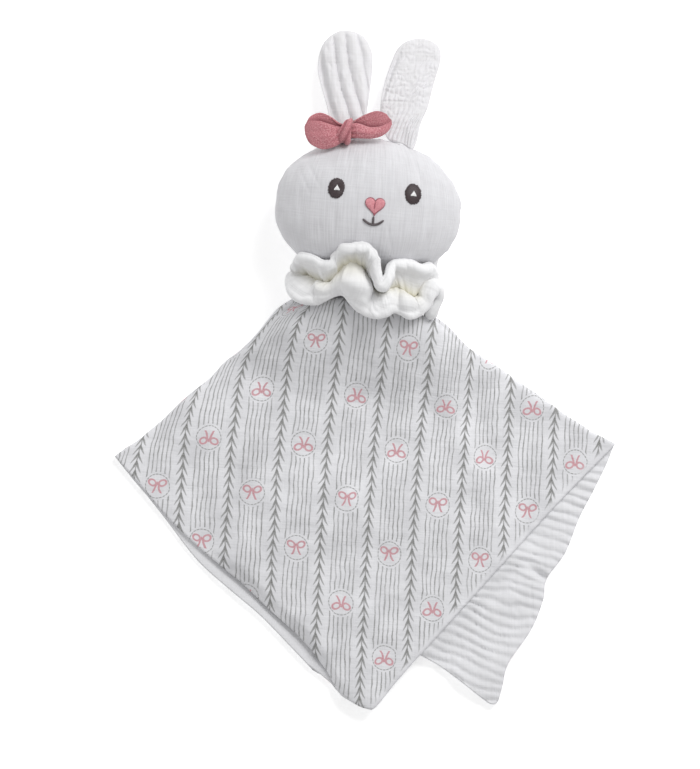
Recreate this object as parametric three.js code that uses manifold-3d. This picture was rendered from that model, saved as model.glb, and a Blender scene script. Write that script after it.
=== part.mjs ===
// Bunny comforter: a stuffed muslin head with two padded ears and a linen bow, a gathered
// collar, and a square two-layer cloth folded back on itself. It lies on its back on a table.
// Millimetres. +X to the viewer's right, +Y towards the ears, +Z up out of the face.
import * as THREE from 'three';
import Module from 'manifold-3d';

const wasm = await Module();
wasm.setup();

// Gap that soft neighbours keep
const CLEARANCE = 0.35;

// Head: two domed panels sewn round a seam, filled, with a flat where it lies on the table
const HEAD_WIDTH = 94.8;
const HEAD_HEIGHT = 68.8;
const HEAD_FRONT_DEPTH = 25;
const HEAD_BACK_DEPTH = 25.5;
const HEAD_FLAT_DEPTH = 0.5;
const HEAD_CENTRE_X = 1.5;
const HEAD_CENTRE_Y = 84;
const HEAD_TILT_DEG = -4.5;
const CROWN_ROUNDNESS = 2;
const CHEEK_ROUNDNESS = 2.45;
const PANEL_THICKNESS = 1.2;

// Face, embroidered, in the head's own axes from its centre
const FACE_MIDDLE_X = 2.9;
const EYE_SPACING = 39.3;
const EYE_HEIGHT_ABOVE_CENTRE = 7.6;
const EYE_WIDTH = 8.2;
const EYE_LENGTH = 10.2;
const HIGHLIGHT_WIDTH = 2.3;
const HIGHLIGHT_LENGTH = 2.9;
const HIGHLIGHT_SHIFT = 0.3;
const NOSE_WIDTH = 10.5;
const NOSE_LENGTH = 9.4;
const NOSE_BELOW_CENTRE = 0.4;
const MOUTH_STEM_LENGTH = 3.3;
const SMILE_WIDTH = 10.8;
const SMILE_DEPTH = 2.7;
const SMILE_BELOW_CENTRE = 9.6;
const STITCH_WIDTH = 1.4;
const STITCH_HEIGHT = 0.8;

// Ears: each outline is its plan view, from the middle of its foot at the head's seam
const EAR_PANEL_THICKNESS = 0.9;
const EAR_HALF_DEPTH = 3.4;
const EAR_FOOT_GAP = 0.7;
const EAR_DROOP_SLOPE = 1.3;
const EAR_TIP_SINK = 2.2;
const LEFT_EAR_FOOT_X = -9;
const LEFT_EAR_FOOT_TURN_DEG = 5;
const LEFT_EAR_OUTLINE = [
  [-8, 0.8], [-9.9, 13.5], [-13.6, 27], [-15.2, 37], [-12.5, 48.5], [-5.5, 54.6], [1.5, 55.2],
  [8.5, 52], [12.6, 44], [12.6, 33], [10.2, 15], [8, 1.4], [0, 0.6],
];
const RIGHT_EAR_FOOT_X = 18.9;
const RIGHT_EAR_FOOT_TURN_DEG = -21.9;
const RIGHT_EAR_OUTLINE = [
  [-7.4, 3.1], [-11, 15.5], [-9.4, 29], [-5.2, 42], [-1.5, 49.5], [4.5, 53.2], [12, 53.6],
  [18.6, 50], [19.9, 43], [16.6, 31], [12, 13], [7.6, -2.2], [0.2, 0.5],
];

// Bow of linen at the foot of the left ear, leaning on the crown, in the head's own axes
const BOW_X = -13.3;
const BOW_ABOVE_CROWN = 3.8;
const BOW_ABOVE_SEAM = 9.6;
const BOW_LEAN_DEG = -24;
const BOW_TURN_DEG = 9;
const BOW_LOOP_LENGTH = 21;
const BOW_LOOP_WIDTH = 18.5;
const BOW_LOOP_THICKNESS = 9;
const BOW_KNOT_LENGTH = 10.5;
const BOW_KNOT_WIDTH = 13.5;
const BOW_KNOT_THICKNESS = 12.5;
const BOW_LOOP_PINCH = 0.38;

// Neck: a soft roll lying across, on whose middle line the head nods
const NECK_RADIUS = 8;
const NECK_HALF_LENGTH = 21;
const NECK_BELOW_SEAM = 5;
const NECK_THREAD_RADIUS = 0.6;
const NECK_THREAD_ABOVE_AXIS = 6.1;

// Collar: a gathered tube of muslin that runs round the neck and flares over the chin
const COLLAR_HALF_WIDTH = 34.5;
const COLLAR_FRONT_REACH = 18;
const COLLAR_BACK_REACH = 13.5;
const COLLAR_MIDDLE_Y = 45.5;
const COLLAR_MIDDLE_Z = 21;
const COLLAR_FRONT_SPREAD = 18.5;
const COLLAR_BACK_SPREAD = 8.5;
const COLLAR_FRONT_PUFF = 6.6;
const COLLAR_BACK_PUFF = 3.6;
const COLLAR_FLARE_DEG = 30;
const COLLAR_PLEATS = 11;
const COLLAR_PLEAT_DEPTH = 0.17;
const COLLAR_MEANDER = 2.2;
const COLLAR_WAVES = 5;

// Cloth: a square of two layers with its middle at the neck, folded back along two lines
const CLOTH_THICKNESS = 1;
const CLOTH_POCKET = 0.3;
const NECK_LINE_LEFT = [-33.2, 34.8];
const NECK_LINE_RIGHT = [33.2, 23];
const NECK_OPENING = 6.5;
const NECK_LOW_Z = 17;
const SHOULDER_FALL = 50;
const BELLY_RISE = 3.2;
const LINING_BAND = 5.5;
const CLOTH_SIDE = 300;
const CLOTH_MIDDLE = [1.5, 35.8];

// Facet counts
const HEAD_STEPS = 28;
const EAR_STEPS = 20;
const STITCH_STEPS = 12;
const COLLAR_STEPS = 72;
const CLOTH_STEPS = 9;
const SHOULDER_STEPS = 5;

const radians = THREE.MathUtils.degToRad;
const lerp = THREE.MathUtils.lerp;

const muslin = (color) => new THREE.MeshStandardMaterial({ color, roughness: 0.95, metalness: 0 });
const MUSLIN_WHITE = muslin(0xe6e7e9);
const MUSLIN_WARM = muslin(0xf0efea);
const FIBRE = muslin(0xf4f4f2);
const LINEN_PINK = muslin(0xc57c83);
const PRINTED_MUSLIN = muslin(0xdcdcdb);
const LINING_GAUZE = muslin(0xf1f1ef);
const THREAD_BROWN = muslin(0x3b2f31);
const THREAD_WHITE = muslin(0xf2f2f2);
const THREAD_PINK = muslin(0xd07a86);
const THREAD_GREY = muslin(0x4a4448);

// Turn the faces outwards where the body's signed volume comes out negative
function facingOut(geometry) {
  const point = geometry.getAttribute('position');
  const index = geometry.getIndex().array;
  const a = new THREE.Vector3();
  const b = new THREE.Vector3();
  const c = new THREE.Vector3();
  let volume = 0;
  for (let i = 0; i < index.length; i += 3) {
    a.fromBufferAttribute(point, index[i]);
    b.fromBufferAttribute(point, index[i + 1]);
    c.fromBufferAttribute(point, index[i + 2]);
    volume += a.dot(b.cross(c));
  }
  if (volume < 0) {
    for (let i = 0; i < index.length; i += 3) {
      const kept = index[i];
      index[i] = index[i + 1];
      index[i + 1] = kept;
    }
  }
  return geometry;
}

// Closed body through loops of equally many points. With poles the first and last loop close
// on a point each, and without poles the last loop joins the first. From the point mirroredFrom
// on, the faces are split along their other diagonal.
function bodyThroughLoops(loops, poles = null, mirroredFrom = Infinity) {
  const size = loops[0].length;
  const positions = loops.flat();
  const index = [];
  const joins = poles ? loops.length - 1 : loops.length;
  for (let i = 0; i < joins; i += 1) {
    const here = i * size;
    const there = ((i + 1) % loops.length) * size;
    for (let j = 0; j < size; j += 1) {
      const next = (j + 1) % size;
      if (j < mirroredFrom) {
        index.push(here + j, here + next, there + next);
        index.push(here + j, there + next, there + j);
      } else {
        index.push(here + j, here + next, there + j);
        index.push(here + next, there + next, there + j);
      }
    }
  }
  if (poles) {
    const firstPole = positions.length;
    const lastLoop = (loops.length - 1) * size;
    positions.push(poles[0], poles[1]);
    for (let j = 0; j < size; j += 1) {
      const next = (j + 1) % size;
      index.push(firstPole, next, j);
      index.push(firstPole + 1, lastLoop + j, lastLoop + next);
    }
  }
  const geometry = new THREE.BufferGeometry();
  geometry.setAttribute('position', new THREE.Float32BufferAttribute(positions.flat(), 3));
  geometry.setIndex(index);
  return facingOut(geometry);
}

function solidOf(geometry) {
  const mesh = new wasm.Mesh({
    numProp: 3,
    vertProperties: new Float32Array(geometry.getAttribute('position').array),
    triVerts: new Uint32Array(geometry.getIndex().array),
  });
  return new wasm.Manifold(mesh);
}

// The body with each of the others taken out of it
function cutBy(geometry, others) {
  let solid = solidOf(geometry);
  for (const other of others) {
    solid = solid.subtract(solidOf(other));
  }
  const mesh = solid.getMesh();
  const cut = new THREE.BufferGeometry();
  cut.setAttribute('position', new THREE.Float32BufferAttribute(mesh.vertProperties, 3));
  cut.setIndex(Array.from(mesh.triVerts));
  return cut;
}

// Outline points moved inwards, towards the middle
function inset(outline, middle, distance) {
  return outline.map(([x, y]) => {
    const reach = Math.hypot(x - middle[0], y - middle[1]);
    const share = (reach - distance) / reach;
    return [lerp(middle[0], x, share), lerp(middle[1], y, share)];
  });
}

// Loops of a dome over an outline, from near its middle out to its seam. The dome is an
// ellipse in section, and its loops are spaced evenly along that ellipse.
function domeLoops(outline, middle, height, rings, place) {
  const loops = [];
  for (let i = 1; i <= rings; i += 1) {
    const angle = (Math.PI / 2) * (i / rings);
    const share = Math.sin(angle);
    const level = i === rings ? 0 : height * Math.cos(angle);
    loops.push(outline.map(([x, y]) => place(
      lerp(middle[0], x, share),
      lerp(middle[1], y, share),
      level,
    )));
  }
  return loops;
}

// One sewn panel: a domed shell of even thickness, open at its seam
function panel(outline, middle, height, thickness, rings, place) {
  const outer = domeLoops(outline, middle, height, rings, place);
  const innerOutline = inset(outline, middle, thickness);
  const inner = domeLoops(innerOutline, middle, height - thickness, rings - 1, place);
  const poles = [place(...middle, height), place(...middle, height - thickness)];
  return bodyThroughLoops([...outer, ...inner.reverse()], poles);
}

// A padded body: a dome on either side of its seam
function pillow(outline, middle, front, back, rings, place) {
  const above = domeLoops(outline, middle, front, rings, place);
  const below = domeLoops(outline, middle, -back, rings, place).slice(0, -1);
  const poles = [place(...middle, front), place(...middle, -back)];
  return bodyThroughLoops([...above, ...below.reverse()], poles);
}

const toy = new THREE.Group();
const headGroup = new THREE.Group();
headGroup.position.set(HEAD_CENTRE_X, HEAD_CENTRE_Y, 0);
headGroup.rotation.z = radians(HEAD_TILT_DEG);
headGroup.updateMatrix();
toy.add(headGroup);

function addPiece(parent, name, geometry, material) {
  geometry.computeVertexNormals();
  const mesh = new THREE.Mesh(geometry, material);
  mesh.name = name;
  parent.add(mesh);
  return mesh;
}

// The head's outline in its own axes: half ellipses above, fuller cheeks below
const SEAM_Z = HEAD_BACK_DEPTH - HEAD_FLAT_DEPTH;

function headReach(angle) {
  const power = Math.sin(angle) >= 0 ? CROWN_ROUNDNESS : CHEEK_ROUNDNESS;
  const across = Math.abs(Math.cos(angle) / (HEAD_WIDTH / 2)) ** power;
  const along = Math.abs(Math.sin(angle) / (HEAD_HEIGHT / 2)) ** power;
  return (across + along) ** (-1 / power);
}

function headOutline(growth) {
  const outline = [];
  for (let j = 0; j < HEAD_STEPS; j += 1) {
    const angle = (2 * Math.PI * j) / HEAD_STEPS;
    const reach = headReach(angle) + growth;
    outline.push([reach * Math.cos(angle), reach * Math.sin(angle)]);
  }
  return outline;
}

const MIDDLE = [0, 0];
const HEAD_RINGS = 7;
const faceSide = (x, y, level) => [x, y, SEAM_Z + CLEARANCE / 2 + level];
const backSide = (floor) => (x, y, level) => [x, y, Math.max(SEAM_Z - CLEARANCE / 2 - level, floor)];

function buildHead() {
  const outline = headOutline(0);
  const face = panel(outline, MIDDLE, HEAD_FRONT_DEPTH, PANEL_THICKNESS, HEAD_RINGS, faceSide);
  addPiece(headGroup, 'head_face_panel', face, MUSLIN_WHITE);

  // The back panel's inner wall stays its thickness above the flat
  const backOuter = domeLoops(outline, MIDDLE, HEAD_BACK_DEPTH, HEAD_RINGS, backSide(0));
  const backInner = domeLoops(
    inset(outline, MIDDLE, PANEL_THICKNESS),
    MIDDLE,
    HEAD_BACK_DEPTH - PANEL_THICKNESS,
    HEAD_RINGS - 1,
    backSide(PANEL_THICKNESS),
  );
  const back = bodyThroughLoops(
    [...backOuter, ...backInner.reverse()],
    [[0, 0, 0], [0, 0, PANEL_THICKNESS]],
  );
  addPiece(headGroup, 'head_back_panel', back, MUSLIN_WHITE);

  const inward = PANEL_THICKNESS + CLEARANCE;
  const filling = pillow(
    inset(outline, MIDDLE, inward),
    MIDDLE,
    HEAD_FRONT_DEPTH - inward,
    HEAD_BACK_DEPTH - inward,
    HEAD_RINGS - 2,
    (x, y, level) => [x, y, Math.max(SEAM_Z + level * 0.985, inward)],
  );
  addPiece(headGroup, 'head_stuffing', filling, FIBRE);
}

// The head grown all round by the clearance, for cutting what lies against it
function headEnvelope() {
  const grown = CLEARANCE * 1.4;
  return pillow(
    headOutline(grown),
    MIDDLE,
    HEAD_FRONT_DEPTH + grown,
    HEAD_BACK_DEPTH + grown,
    HEAD_RINGS,
    (x, y, level) => [x, y, SEAM_Z + level + Math.sign(level) * (CLEARANCE / 2)],
  );
}

// Height of the face at a point of the head's own axes
function faceHeight(x, y) {
  const share = Math.hypot(x, y) / headReach(Math.atan2(y, x));
  return SEAM_Z + CLEARANCE / 2 + HEAD_FRONT_DEPTH * Math.sqrt(1 - share * share);
}

// A patch of stitches that follows the face: an outline given from its own middle
function stitchPatch(middle, outline, bottom, height) {
  const loopAt = (share, level) => outline.map(([dx, dy]) => {
    const x = middle[0] + dx * share;
    const y = middle[1] + dy * share;
    return [x, y, faceHeight(x, y) + level];
  });
  const top = bottom + height;
  const loops = [loopAt(0.5, top), loopAt(1, top - height * 0.35), loopAt(1, bottom), loopAt(0.5, bottom)];
  const pole = (level) => [...middle, faceHeight(...middle) + level];
  return bodyThroughLoops(loops, [pole(top), pole(bottom)]);
}

// A line of stitches along points of the face
function stitchLine(points) {
  const half = STITCH_WIDTH / 2;
  const loops = points.map((point, i) => {
    const before = points[Math.max(i - 1, 0)];
    const after = points[Math.min(i + 1, points.length - 1)];
    const along = new THREE.Vector2(after[0] - before[0], after[1] - before[1]).normalize();
    const sides = [[-half, CLEARANCE], [half, CLEARANCE], [half, CLEARANCE + STITCH_HEIGHT],
      [-half, CLEARANCE + STITCH_HEIGHT]];
    return sides.map(([offset, level]) => {
      const x = point[0] - along.y * offset;
      const y = point[1] + along.x * offset;
      return [x, y, faceHeight(x, y) + level];
    });
  });
  const pole = (loop) => [0, 1, 2].map((axis) => loop.reduce((sum, p) => sum + p[axis], 0) / loop.length);
  return bodyThroughLoops(loops, [pole(loops[0]), pole(loops[loops.length - 1])]);
}

function ellipseOutline(width, length, steps) {
  const outline = [];
  for (let j = 0; j < steps; j += 1) {
    const angle = (2 * Math.PI * j) / steps;
    outline.push([(width / 2) * Math.cos(angle), (length / 2) * Math.sin(angle)]);
  }
  return outline;
}

// Heart curve: sixteen sine cubed across, a sum of four cosines along
function heartOutline(width, length, steps) {
  const outline = [];
  for (let j = 0; j < steps; j += 1) {
    const t = (2 * Math.PI * j) / steps;
    const across = Math.sin(t) ** 3;
    const along = 13 * Math.cos(t) - 5 * Math.cos(2 * t) - 2 * Math.cos(3 * t) - Math.cos(4 * t);
    outline.push([(-width / 2) * across, (length / 2) * ((along + 2.5) / 14.5)]);
  }
  return outline;
}

function buildFace() {
  const eye = ellipseOutline(EYE_WIDTH, EYE_LENGTH, STITCH_STEPS);
  const highlight = ellipseOutline(HIGHLIGHT_WIDTH, HIGHLIGHT_LENGTH, STITCH_STEPS - 4);
  for (const [side, sign] of [['left', -1], ['right', 1]]) {
    const middle = [FACE_MIDDLE_X + (sign * EYE_SPACING) / 2, EYE_HEIGHT_ABOVE_CENTRE];
    const spot = [middle[0] + HIGHLIGHT_SHIFT, middle[1] + HIGHLIGHT_SHIFT];
    const eyePatch = stitchPatch(middle, eye, CLEARANCE, STITCH_HEIGHT);
    addPiece(headGroup, `${side}_eye`, eyePatch, THREAD_BROWN);
    const spotLevel = 2 * CLEARANCE + STITCH_HEIGHT;
    const spotPatch = stitchPatch(spot, highlight, spotLevel, STITCH_HEIGHT / 2);
    addPiece(headGroup, `${side}_eye_highlight`, spotPatch, THREAD_WHITE);
  }
  const nose = heartOutline(NOSE_WIDTH, NOSE_LENGTH, STITCH_STEPS + 4);
  const nosePatch = stitchPatch([FACE_MIDDLE_X, -NOSE_BELOW_CENTRE], nose, CLEARANCE, STITCH_HEIGHT);
  addPiece(headGroup, 'nose', nosePatch, THREAD_PINK);

  const smile = [];
  for (let i = 0; i <= 8; i += 1) {
    const across = i / 4 - 1;
    const rise = SMILE_DEPTH * across * across;
    smile.push([FACE_MIDDLE_X + (across * SMILE_WIDTH) / 2, rise - SMILE_BELOW_CENTRE]);
  }
  addPiece(headGroup, 'mouth_smile', stitchLine(smile), THREAD_GREY);
  const stemFoot = STITCH_WIDTH / 2 + CLEARANCE - SMILE_BELOW_CENTRE;
  const stem = [0, 0.5, 1].map((share) => [FACE_MIDDLE_X, stemFoot + share * MOUTH_STEM_LENGTH]);
  addPiece(headGroup, 'mouth_stem', stitchLine(stem), THREAD_GREY);
}

// Where the head's seam lies, in the toy's axes, above or below a point across the head
function seamY(x) {
  const turn = radians(HEAD_TILT_DEG);
  let angle = Math.PI / 2;
  for (let i = 0; i < 12; i += 1) {
    const reach = headReach(angle);
    const plan = reach * Math.cos(angle + turn);
    angle += (plan - (x - HEAD_CENTRE_X)) / (HEAD_WIDTH / 2);
  }
  return HEAD_CENTRE_Y + headReach(angle) * Math.sin(angle + turn);
}

// One ear: an outline sampled along its curve, domed both ways, falling to the table
function buildEar(side, footX, footTurn, outlinePoints) {
  const foot = [footX, seamY(footX) + EAR_FOOT_GAP];
  const curve = new THREE.CatmullRomCurve3(
    outlinePoints.map(([x, y]) => new THREE.Vector3(x, y, 0)),
    true,
    'catmullrom',
    0.5,
  );
  const outline = curve.getSpacedPoints(EAR_STEPS).slice(0, EAR_STEPS).map(({ x, y }) => [x, y]);
  const length = Math.max(...outline.map(([, y]) => y));
  const middle = [
    outline.reduce((sum, [x]) => sum + x, 0) / EAR_STEPS,
    outline.reduce((sum, [, y]) => sum + y, 0) / EAR_STEPS,
  ];
  const fall = SEAM_Z - EAR_HALF_DEPTH + EAR_TIP_SINK;
  const turn = radians(footTurn);
  const place = (sideSign, floor) => (x, y, level) => {
    // Distance from the foot line, as a share of the ear's length
    const share = Math.max(-x * Math.sin(turn) + y * Math.cos(turn), 0) / length;
    const drop = fall * (EAR_DROOP_SLOPE * share - (EAR_DROOP_SLOPE - 1) * share * share);
    const z = SEAM_Z - drop + sideSign * (level + CLEARANCE / 2);
    return [foot[0] + x, foot[1] + y, Math.max(z, floor)];
  };
  const rings = 5;
  const depth = EAR_HALF_DEPTH;
  const thick = EAR_PANEL_THICKNESS;
  const front = panel(outline, middle, depth, thick, rings, place(1, 0));
  addPiece(toy, `${side}_ear_front_panel`, front, MUSLIN_WARM);
  const back = panel(outline, middle, depth, thick, rings, place(-1, 0));
  addPiece(toy, `${side}_ear_back_panel`, back, MUSLIN_WARM);
  const inward = thick + CLEARANCE;
  const filling = pillow(inset(outline, middle, inward), middle, depth - inward, depth - inward, 3, place(1, 0));
  addPiece(toy, `${side}_ear_wadding`, filling, FIBRE);
}

// Bow: two puffed loops pinched towards a knot, cut back where they meet the head
function buildBow() {
  const turn = new THREE.Matrix4().makeRotationZ(radians(BOW_TURN_DEG));
  const lean = new THREE.Matrix4().makeRotationX(radians(BOW_LEAN_DEG));
  const seat = new THREE.Matrix4().makeTranslation(
    BOW_X,
    HEAD_HEIGHT / 2 + BOW_ABOVE_CROWN,
    SEAM_Z + BOW_ABOVE_SEAM,
  );
  seat.multiply(lean).multiply(turn);
  const envelope = headEnvelope();
  const plain = (x, y, z) => [x, y, z];

  const knotOutline = ellipseOutline(BOW_KNOT_LENGTH, BOW_KNOT_WIDTH, 14);
  const knot = pillow(knotOutline, MIDDLE, BOW_KNOT_THICKNESS / 2, BOW_KNOT_THICKNESS / 2, 4, plain);
  const knotEnvelope = pillow(
    inset(knotOutline, MIDDLE, -CLEARANCE),
    MIDDLE,
    BOW_KNOT_THICKNESS / 2 + CLEARANCE,
    BOW_KNOT_THICKNESS / 2 + CLEARANCE,
    4,
    plain,
  );
  for (const [side, sign] of [['left', -1], ['right', 1]]) {
    const outline = [];
    for (let j = 0; j < 18; j += 1) {
      const angle = (2 * Math.PI * j) / 18;
      const along = (1 - Math.cos(angle)) / 2;
      const pinch = lerp(BOW_LOOP_PINCH, 1, Math.sin((along * Math.PI) / 2));
      outline.push([sign * (1 + along * BOW_LOOP_LENGTH), (BOW_LOOP_WIDTH / 2) * pinch * Math.sin(angle)]);
    }
    const middle = [sign * (1 + 0.55 * BOW_LOOP_LENGTH), 0];
    const half = BOW_LOOP_THICKNESS / 2;
    const loop = pillow(outline, middle, half, half, 5, plain);
    const pinched = cutBy(loop, [knotEnvelope]);
    pinched.applyMatrix4(seat);
    addPiece(headGroup, `bow_${side}_loop`, cutBy(pinched, [envelope]), LINEN_PINK);
  }
  knot.applyMatrix4(seat);
  addPiece(headGroup, 'bow_knot', cutBy(knot, [envelope]), LINEN_PINK);
}

// The nod's axis lies under the chin, one neck radius and a clearance below the head's seam
const CHIN_Y = HEAD_CENTRE_Y - HEAD_HEIGHT / 2;
const NECK_Y = CHIN_Y - CLEARANCE - NECK_RADIUS;
const NECK_Z = SEAM_Z - NECK_BELOW_SEAM;

function neckRoll(growth) {
  const loops = [];
  const steps = 16;
  const stations = 8;
  for (let i = 1; i < stations; i += 1) {
    const angle = (Math.PI * i) / stations;
    const radius = (NECK_RADIUS + growth) * Math.sin(angle);
    const x = HEAD_CENTRE_X - (NECK_HALF_LENGTH + growth) * Math.cos(angle);
    const loop = [];
    for (let j = 0; j < steps; j += 1) {
      const around = (2 * Math.PI * j) / steps;
      loop.push([x, NECK_Y + radius * Math.cos(around), NECK_Z + radius * Math.sin(around)]);
    }
    loops.push(loop);
  }
  const end = NECK_HALF_LENGTH + growth;
  return bodyThroughLoops(loops, [
    [HEAD_CENTRE_X - end, NECK_Y, NECK_Z],
    [HEAD_CENTRE_X + end, NECK_Y, NECK_Z],
  ]);
}

function buildNeck() {
  addPiece(toy, 'neck_core', neckRoll(0), MUSLIN_WHITE);

  // The thread lies round the roll in a plane between its axis and the head
  const climb = Math.asin(NECK_THREAD_ABOVE_AXIS / NECK_RADIUS);
  const outward = CLEARANCE + NECK_THREAD_RADIUS;
  const halfX = (NECK_HALF_LENGTH + outward) * Math.cos(climb);
  const halfZ = (NECK_RADIUS + outward) * Math.cos(climb);
  const planeY = NECK_Y + (NECK_RADIUS + outward) * Math.sin(climb);
  const loops = [];
  const turns = 28;
  for (let i = 0; i < turns; i += 1) {
    const around = (2 * Math.PI * i) / turns;
    const out = new THREE.Vector2(Math.cos(around) / halfX, Math.sin(around) / halfZ).normalize();
    const loop = [];
    for (let j = 0; j < 6; j += 1) {
      const angle = (2 * Math.PI * j) / 6;
      const reach = NECK_THREAD_RADIUS * Math.cos(angle);
      loop.push([
        HEAD_CENTRE_X + halfX * Math.cos(around) + out.x * reach,
        planeY + NECK_THREAD_RADIUS * Math.sin(angle),
        NECK_Z + halfZ * Math.sin(around) + out.y * reach,
      ]);
    }
    loops.push(loop);
  }
  addPiece(toy, 'neck_thread', bodyThroughLoops(loops), THREAD_WHITE);
}

// Cloth. Its two layers are wrapped round one pocket: u runs across it from the left fold to
// the right, t from the neck to the outer edge, and a layer lies at a distance from the pocket.
const LAYER_STEP = CLOTH_THICKNESS + CLEARANCE;
const STACK_HEIGHT = LAYER_STEP + CLOTH_THICKNESS;
const FRONT_U = [0, 0.08, 0.18, 0.3, 0.4, 0.5, 0.6, 0.7, 0.82, 0.92, 1];

// A place of the folded cloth: degrees from straight down, round its middle, and the distance
// from there as a share of the cloth's side
function clothPlace(degrees, share) {
  const angle = radians(degrees);
  return [
    CLOTH_MIDDLE[0] + Math.sin(angle) * share * CLOTH_SIDE,
    CLOTH_MIDDLE[1] - Math.cos(angle) * share * CLOTH_SIDE,
  ];
}

const FRONT_LEFT_TIP = clothPlace(-57.6, 0.498);
const FRONT_LOW_CORNER = clothPlace(-0.1, 0.697);
const FRONT_RIGHT_TIP = clothPlace(59.4, 0.477);
const REAR_LOW_POINT = clothPlace(-1.6, 0.67);
const FLAP_INNER_POINT = clothPlace(8.6, 0.616);
const FLAP_CORNER = clothPlace(17.1, 0.7185);
const FLAP_EDGE_LOW = clothPlace(26.9, 0.611);
const FLAP_EDGE_HIGH = clothPlace(32, 0.573);

function alongPath(path, u) {
  let i = 0;
  while (i < path.length - 2 && u > path[i + 1].u) {
    i += 1;
  }
  const share = (u - path[i].u) / (path[i + 1].u - path[i].u);
  return [lerp(path[i].at[0], path[i + 1].at[0], share), lerp(path[i].at[1], path[i + 1].at[1], share)];
}

const FRONT_EDGE = [
  { u: 0, at: FRONT_LEFT_TIP },
  { u: 0.5, at: FRONT_LOW_CORNER },
  { u: 1, at: FRONT_RIGHT_TIP },
];

// The lining band shows outside the front's left edge
const leftEdge = new THREE.Vector2(
  FRONT_LOW_CORNER[0] - FRONT_LEFT_TIP[0],
  FRONT_LOW_CORNER[1] - FRONT_LEFT_TIP[1],
).normalize();
const bandPoint = (share) => [
  lerp(FRONT_LEFT_TIP[0], FRONT_LOW_CORNER[0], share) + leftEdge.y * LINING_BAND,
  lerp(FRONT_LEFT_TIP[1], FRONT_LOW_CORNER[1], share) - leftEdge.x * LINING_BAND,
];
const REAR_EDGE = [
  { u: 0, at: FRONT_LEFT_TIP },
  { u: 0.08, at: bandPoint(0.16) },
  { u: 0.4, at: bandPoint(0.82) },
  { u: 0.5, at: REAR_LOW_POINT },
  { u: 0.6, at: FLAP_INNER_POINT },
  { u: 0.7, at: FLAP_CORNER },
  { u: 0.82, at: FLAP_EDGE_LOW },
  { u: 0.92, at: FLAP_EDGE_HIGH },
  { u: 1, at: FRONT_RIGHT_TIP },
];

// The cloth starts along a line between its shoulders, bowed up to the foot of the neck roll
const NECK_LINE_BOW = NECK_Y - NECK_RADIUS - 2 * CLEARANCE - (NECK_LINE_LEFT[1] + NECK_LINE_RIGHT[1]) / 2;

function neckLine(u) {
  return [
    lerp(NECK_LINE_LEFT[0], NECK_LINE_RIGHT[0], u),
    lerp(NECK_LINE_LEFT[1], NECK_LINE_RIGHT[1], u) + NECK_LINE_BOW * Math.sin(Math.PI * u) ** 1.5,
  ];
}

// Share of the neck's height that is left at a distance from the neck
function neckShare(reach) {
  const left = THREE.MathUtils.clamp(1 - reach / SHOULDER_FALL, 0, 1);
  return left * left * (3 - 2 * left);
}

// Stations round the pocket: the front face, the right fold, the rear face, the left fold
function clothStations() {
  const foldAngles = [50, 0, -50].map(radians);
  const stations = FRONT_U.map((u) => ({ u, edge: FRONT_EDGE, up: 1, out: 0, level: 1 }));
  for (const angle of foldAngles) {
    stations.push({ u: 1, edge: FRONT_EDGE, up: Math.sin(angle), out: Math.cos(angle), level: 0.5 });
  }
  for (const u of [...FRONT_U].reverse()) {
    stations.push({ u, edge: REAR_EDGE, up: -1, out: 0, level: 0 });
  }
  for (const angle of [...foldAngles].reverse()) {
    stations.push({ u: 0, edge: FRONT_EDGE, up: Math.sin(angle), out: Math.cos(angle), level: 0.5 });
  }
  return stations;
}

// A point of a layer: step counts outwards from the neck, evenly down the shoulder and then
// evenly to the edge, and distance is how far the layer lies from the pocket
function clothPoint(station, step, distance) {
  const inner = neckLine(station.u);
  const outer = alongPath(station.edge, station.u);
  const way = new THREE.Vector2(outer[0] - inner[0], outer[1] - inner[1]);
  const length = way.length();
  const along = way.normalize();
  const past = Math.max(step - SHOULDER_STEPS, 0) / (CLOTH_STEPS - SHOULDER_STEPS);
  const shoulderReach = SHOULDER_FALL * Math.min(step / SHOULDER_STEPS, 1);
  const reach = lerp(shoulderReach, length, past);
  const sideways = station.out * distance * (station.u > 0.5 ? 1 : -1);
  // The pocket's lower face is flat on the table past the shoulders
  const share = neckShare(reach);
  const floor = lerp(STACK_HEIGHT, NECK_LOW_Z, share);
  const arch = Math.sin(Math.PI * station.u) ** 0.7;
  const belly = BELLY_RISE * Math.sin((Math.PI * reach) / length);
  const pocket = CLOTH_POCKET + arch * (NECK_OPENING * share + belly);
  return [
    inner[0] + along.x * reach - along.y * sideways,
    inner[1] + along.y * reach + along.x * sideways,
    floor + station.level * pocket + station.up * distance,
  ];
}

const CLOTH_ROWS = Array.from({ length: CLOTH_STEPS + 1 }, (_, i) => i);

function clothLayer(inside, outside) {
  const loops = clothStations().map((station) => {
    const outer = CLOTH_ROWS.map((step) => clothPoint(station, step, outside));
    const inner = CLOTH_ROWS.map((step) => clothPoint(station, step, inside));
    return [...outer, ...inner.reverse()];
  });
  return bodyThroughLoops(loops, null, CLOTH_ROWS.length);
}

function clothEnvelope() {
  const distance = STACK_HEIGHT + CLEARANCE;
  const stations = clothStations();
  const loops = CLOTH_ROWS.map((step) => stations.map((station) => clothPoint(station, step, distance)));
  loops.unshift(loops[0].map(([x, y, z]) => [x, y + 1.5 * CLEARANCE, z]));
  const pole = (loop) => [0, 1, 2].map((axis) => loop.reduce((sum, p) => sum + p[axis], 0) / loop.length);
  return bodyThroughLoops(loops, [pole(loops[0]), pole(loops[loops.length - 1])]);
}

function buildCloth() {
  addPiece(toy, 'cloth_lining', clothLayer(0, CLOTH_THICKNESS), LINING_GAUZE);
  addPiece(toy, 'cloth_print', clothLayer(LAYER_STEP, STACK_HEIGHT), PRINTED_MUSLIN);
}

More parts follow.
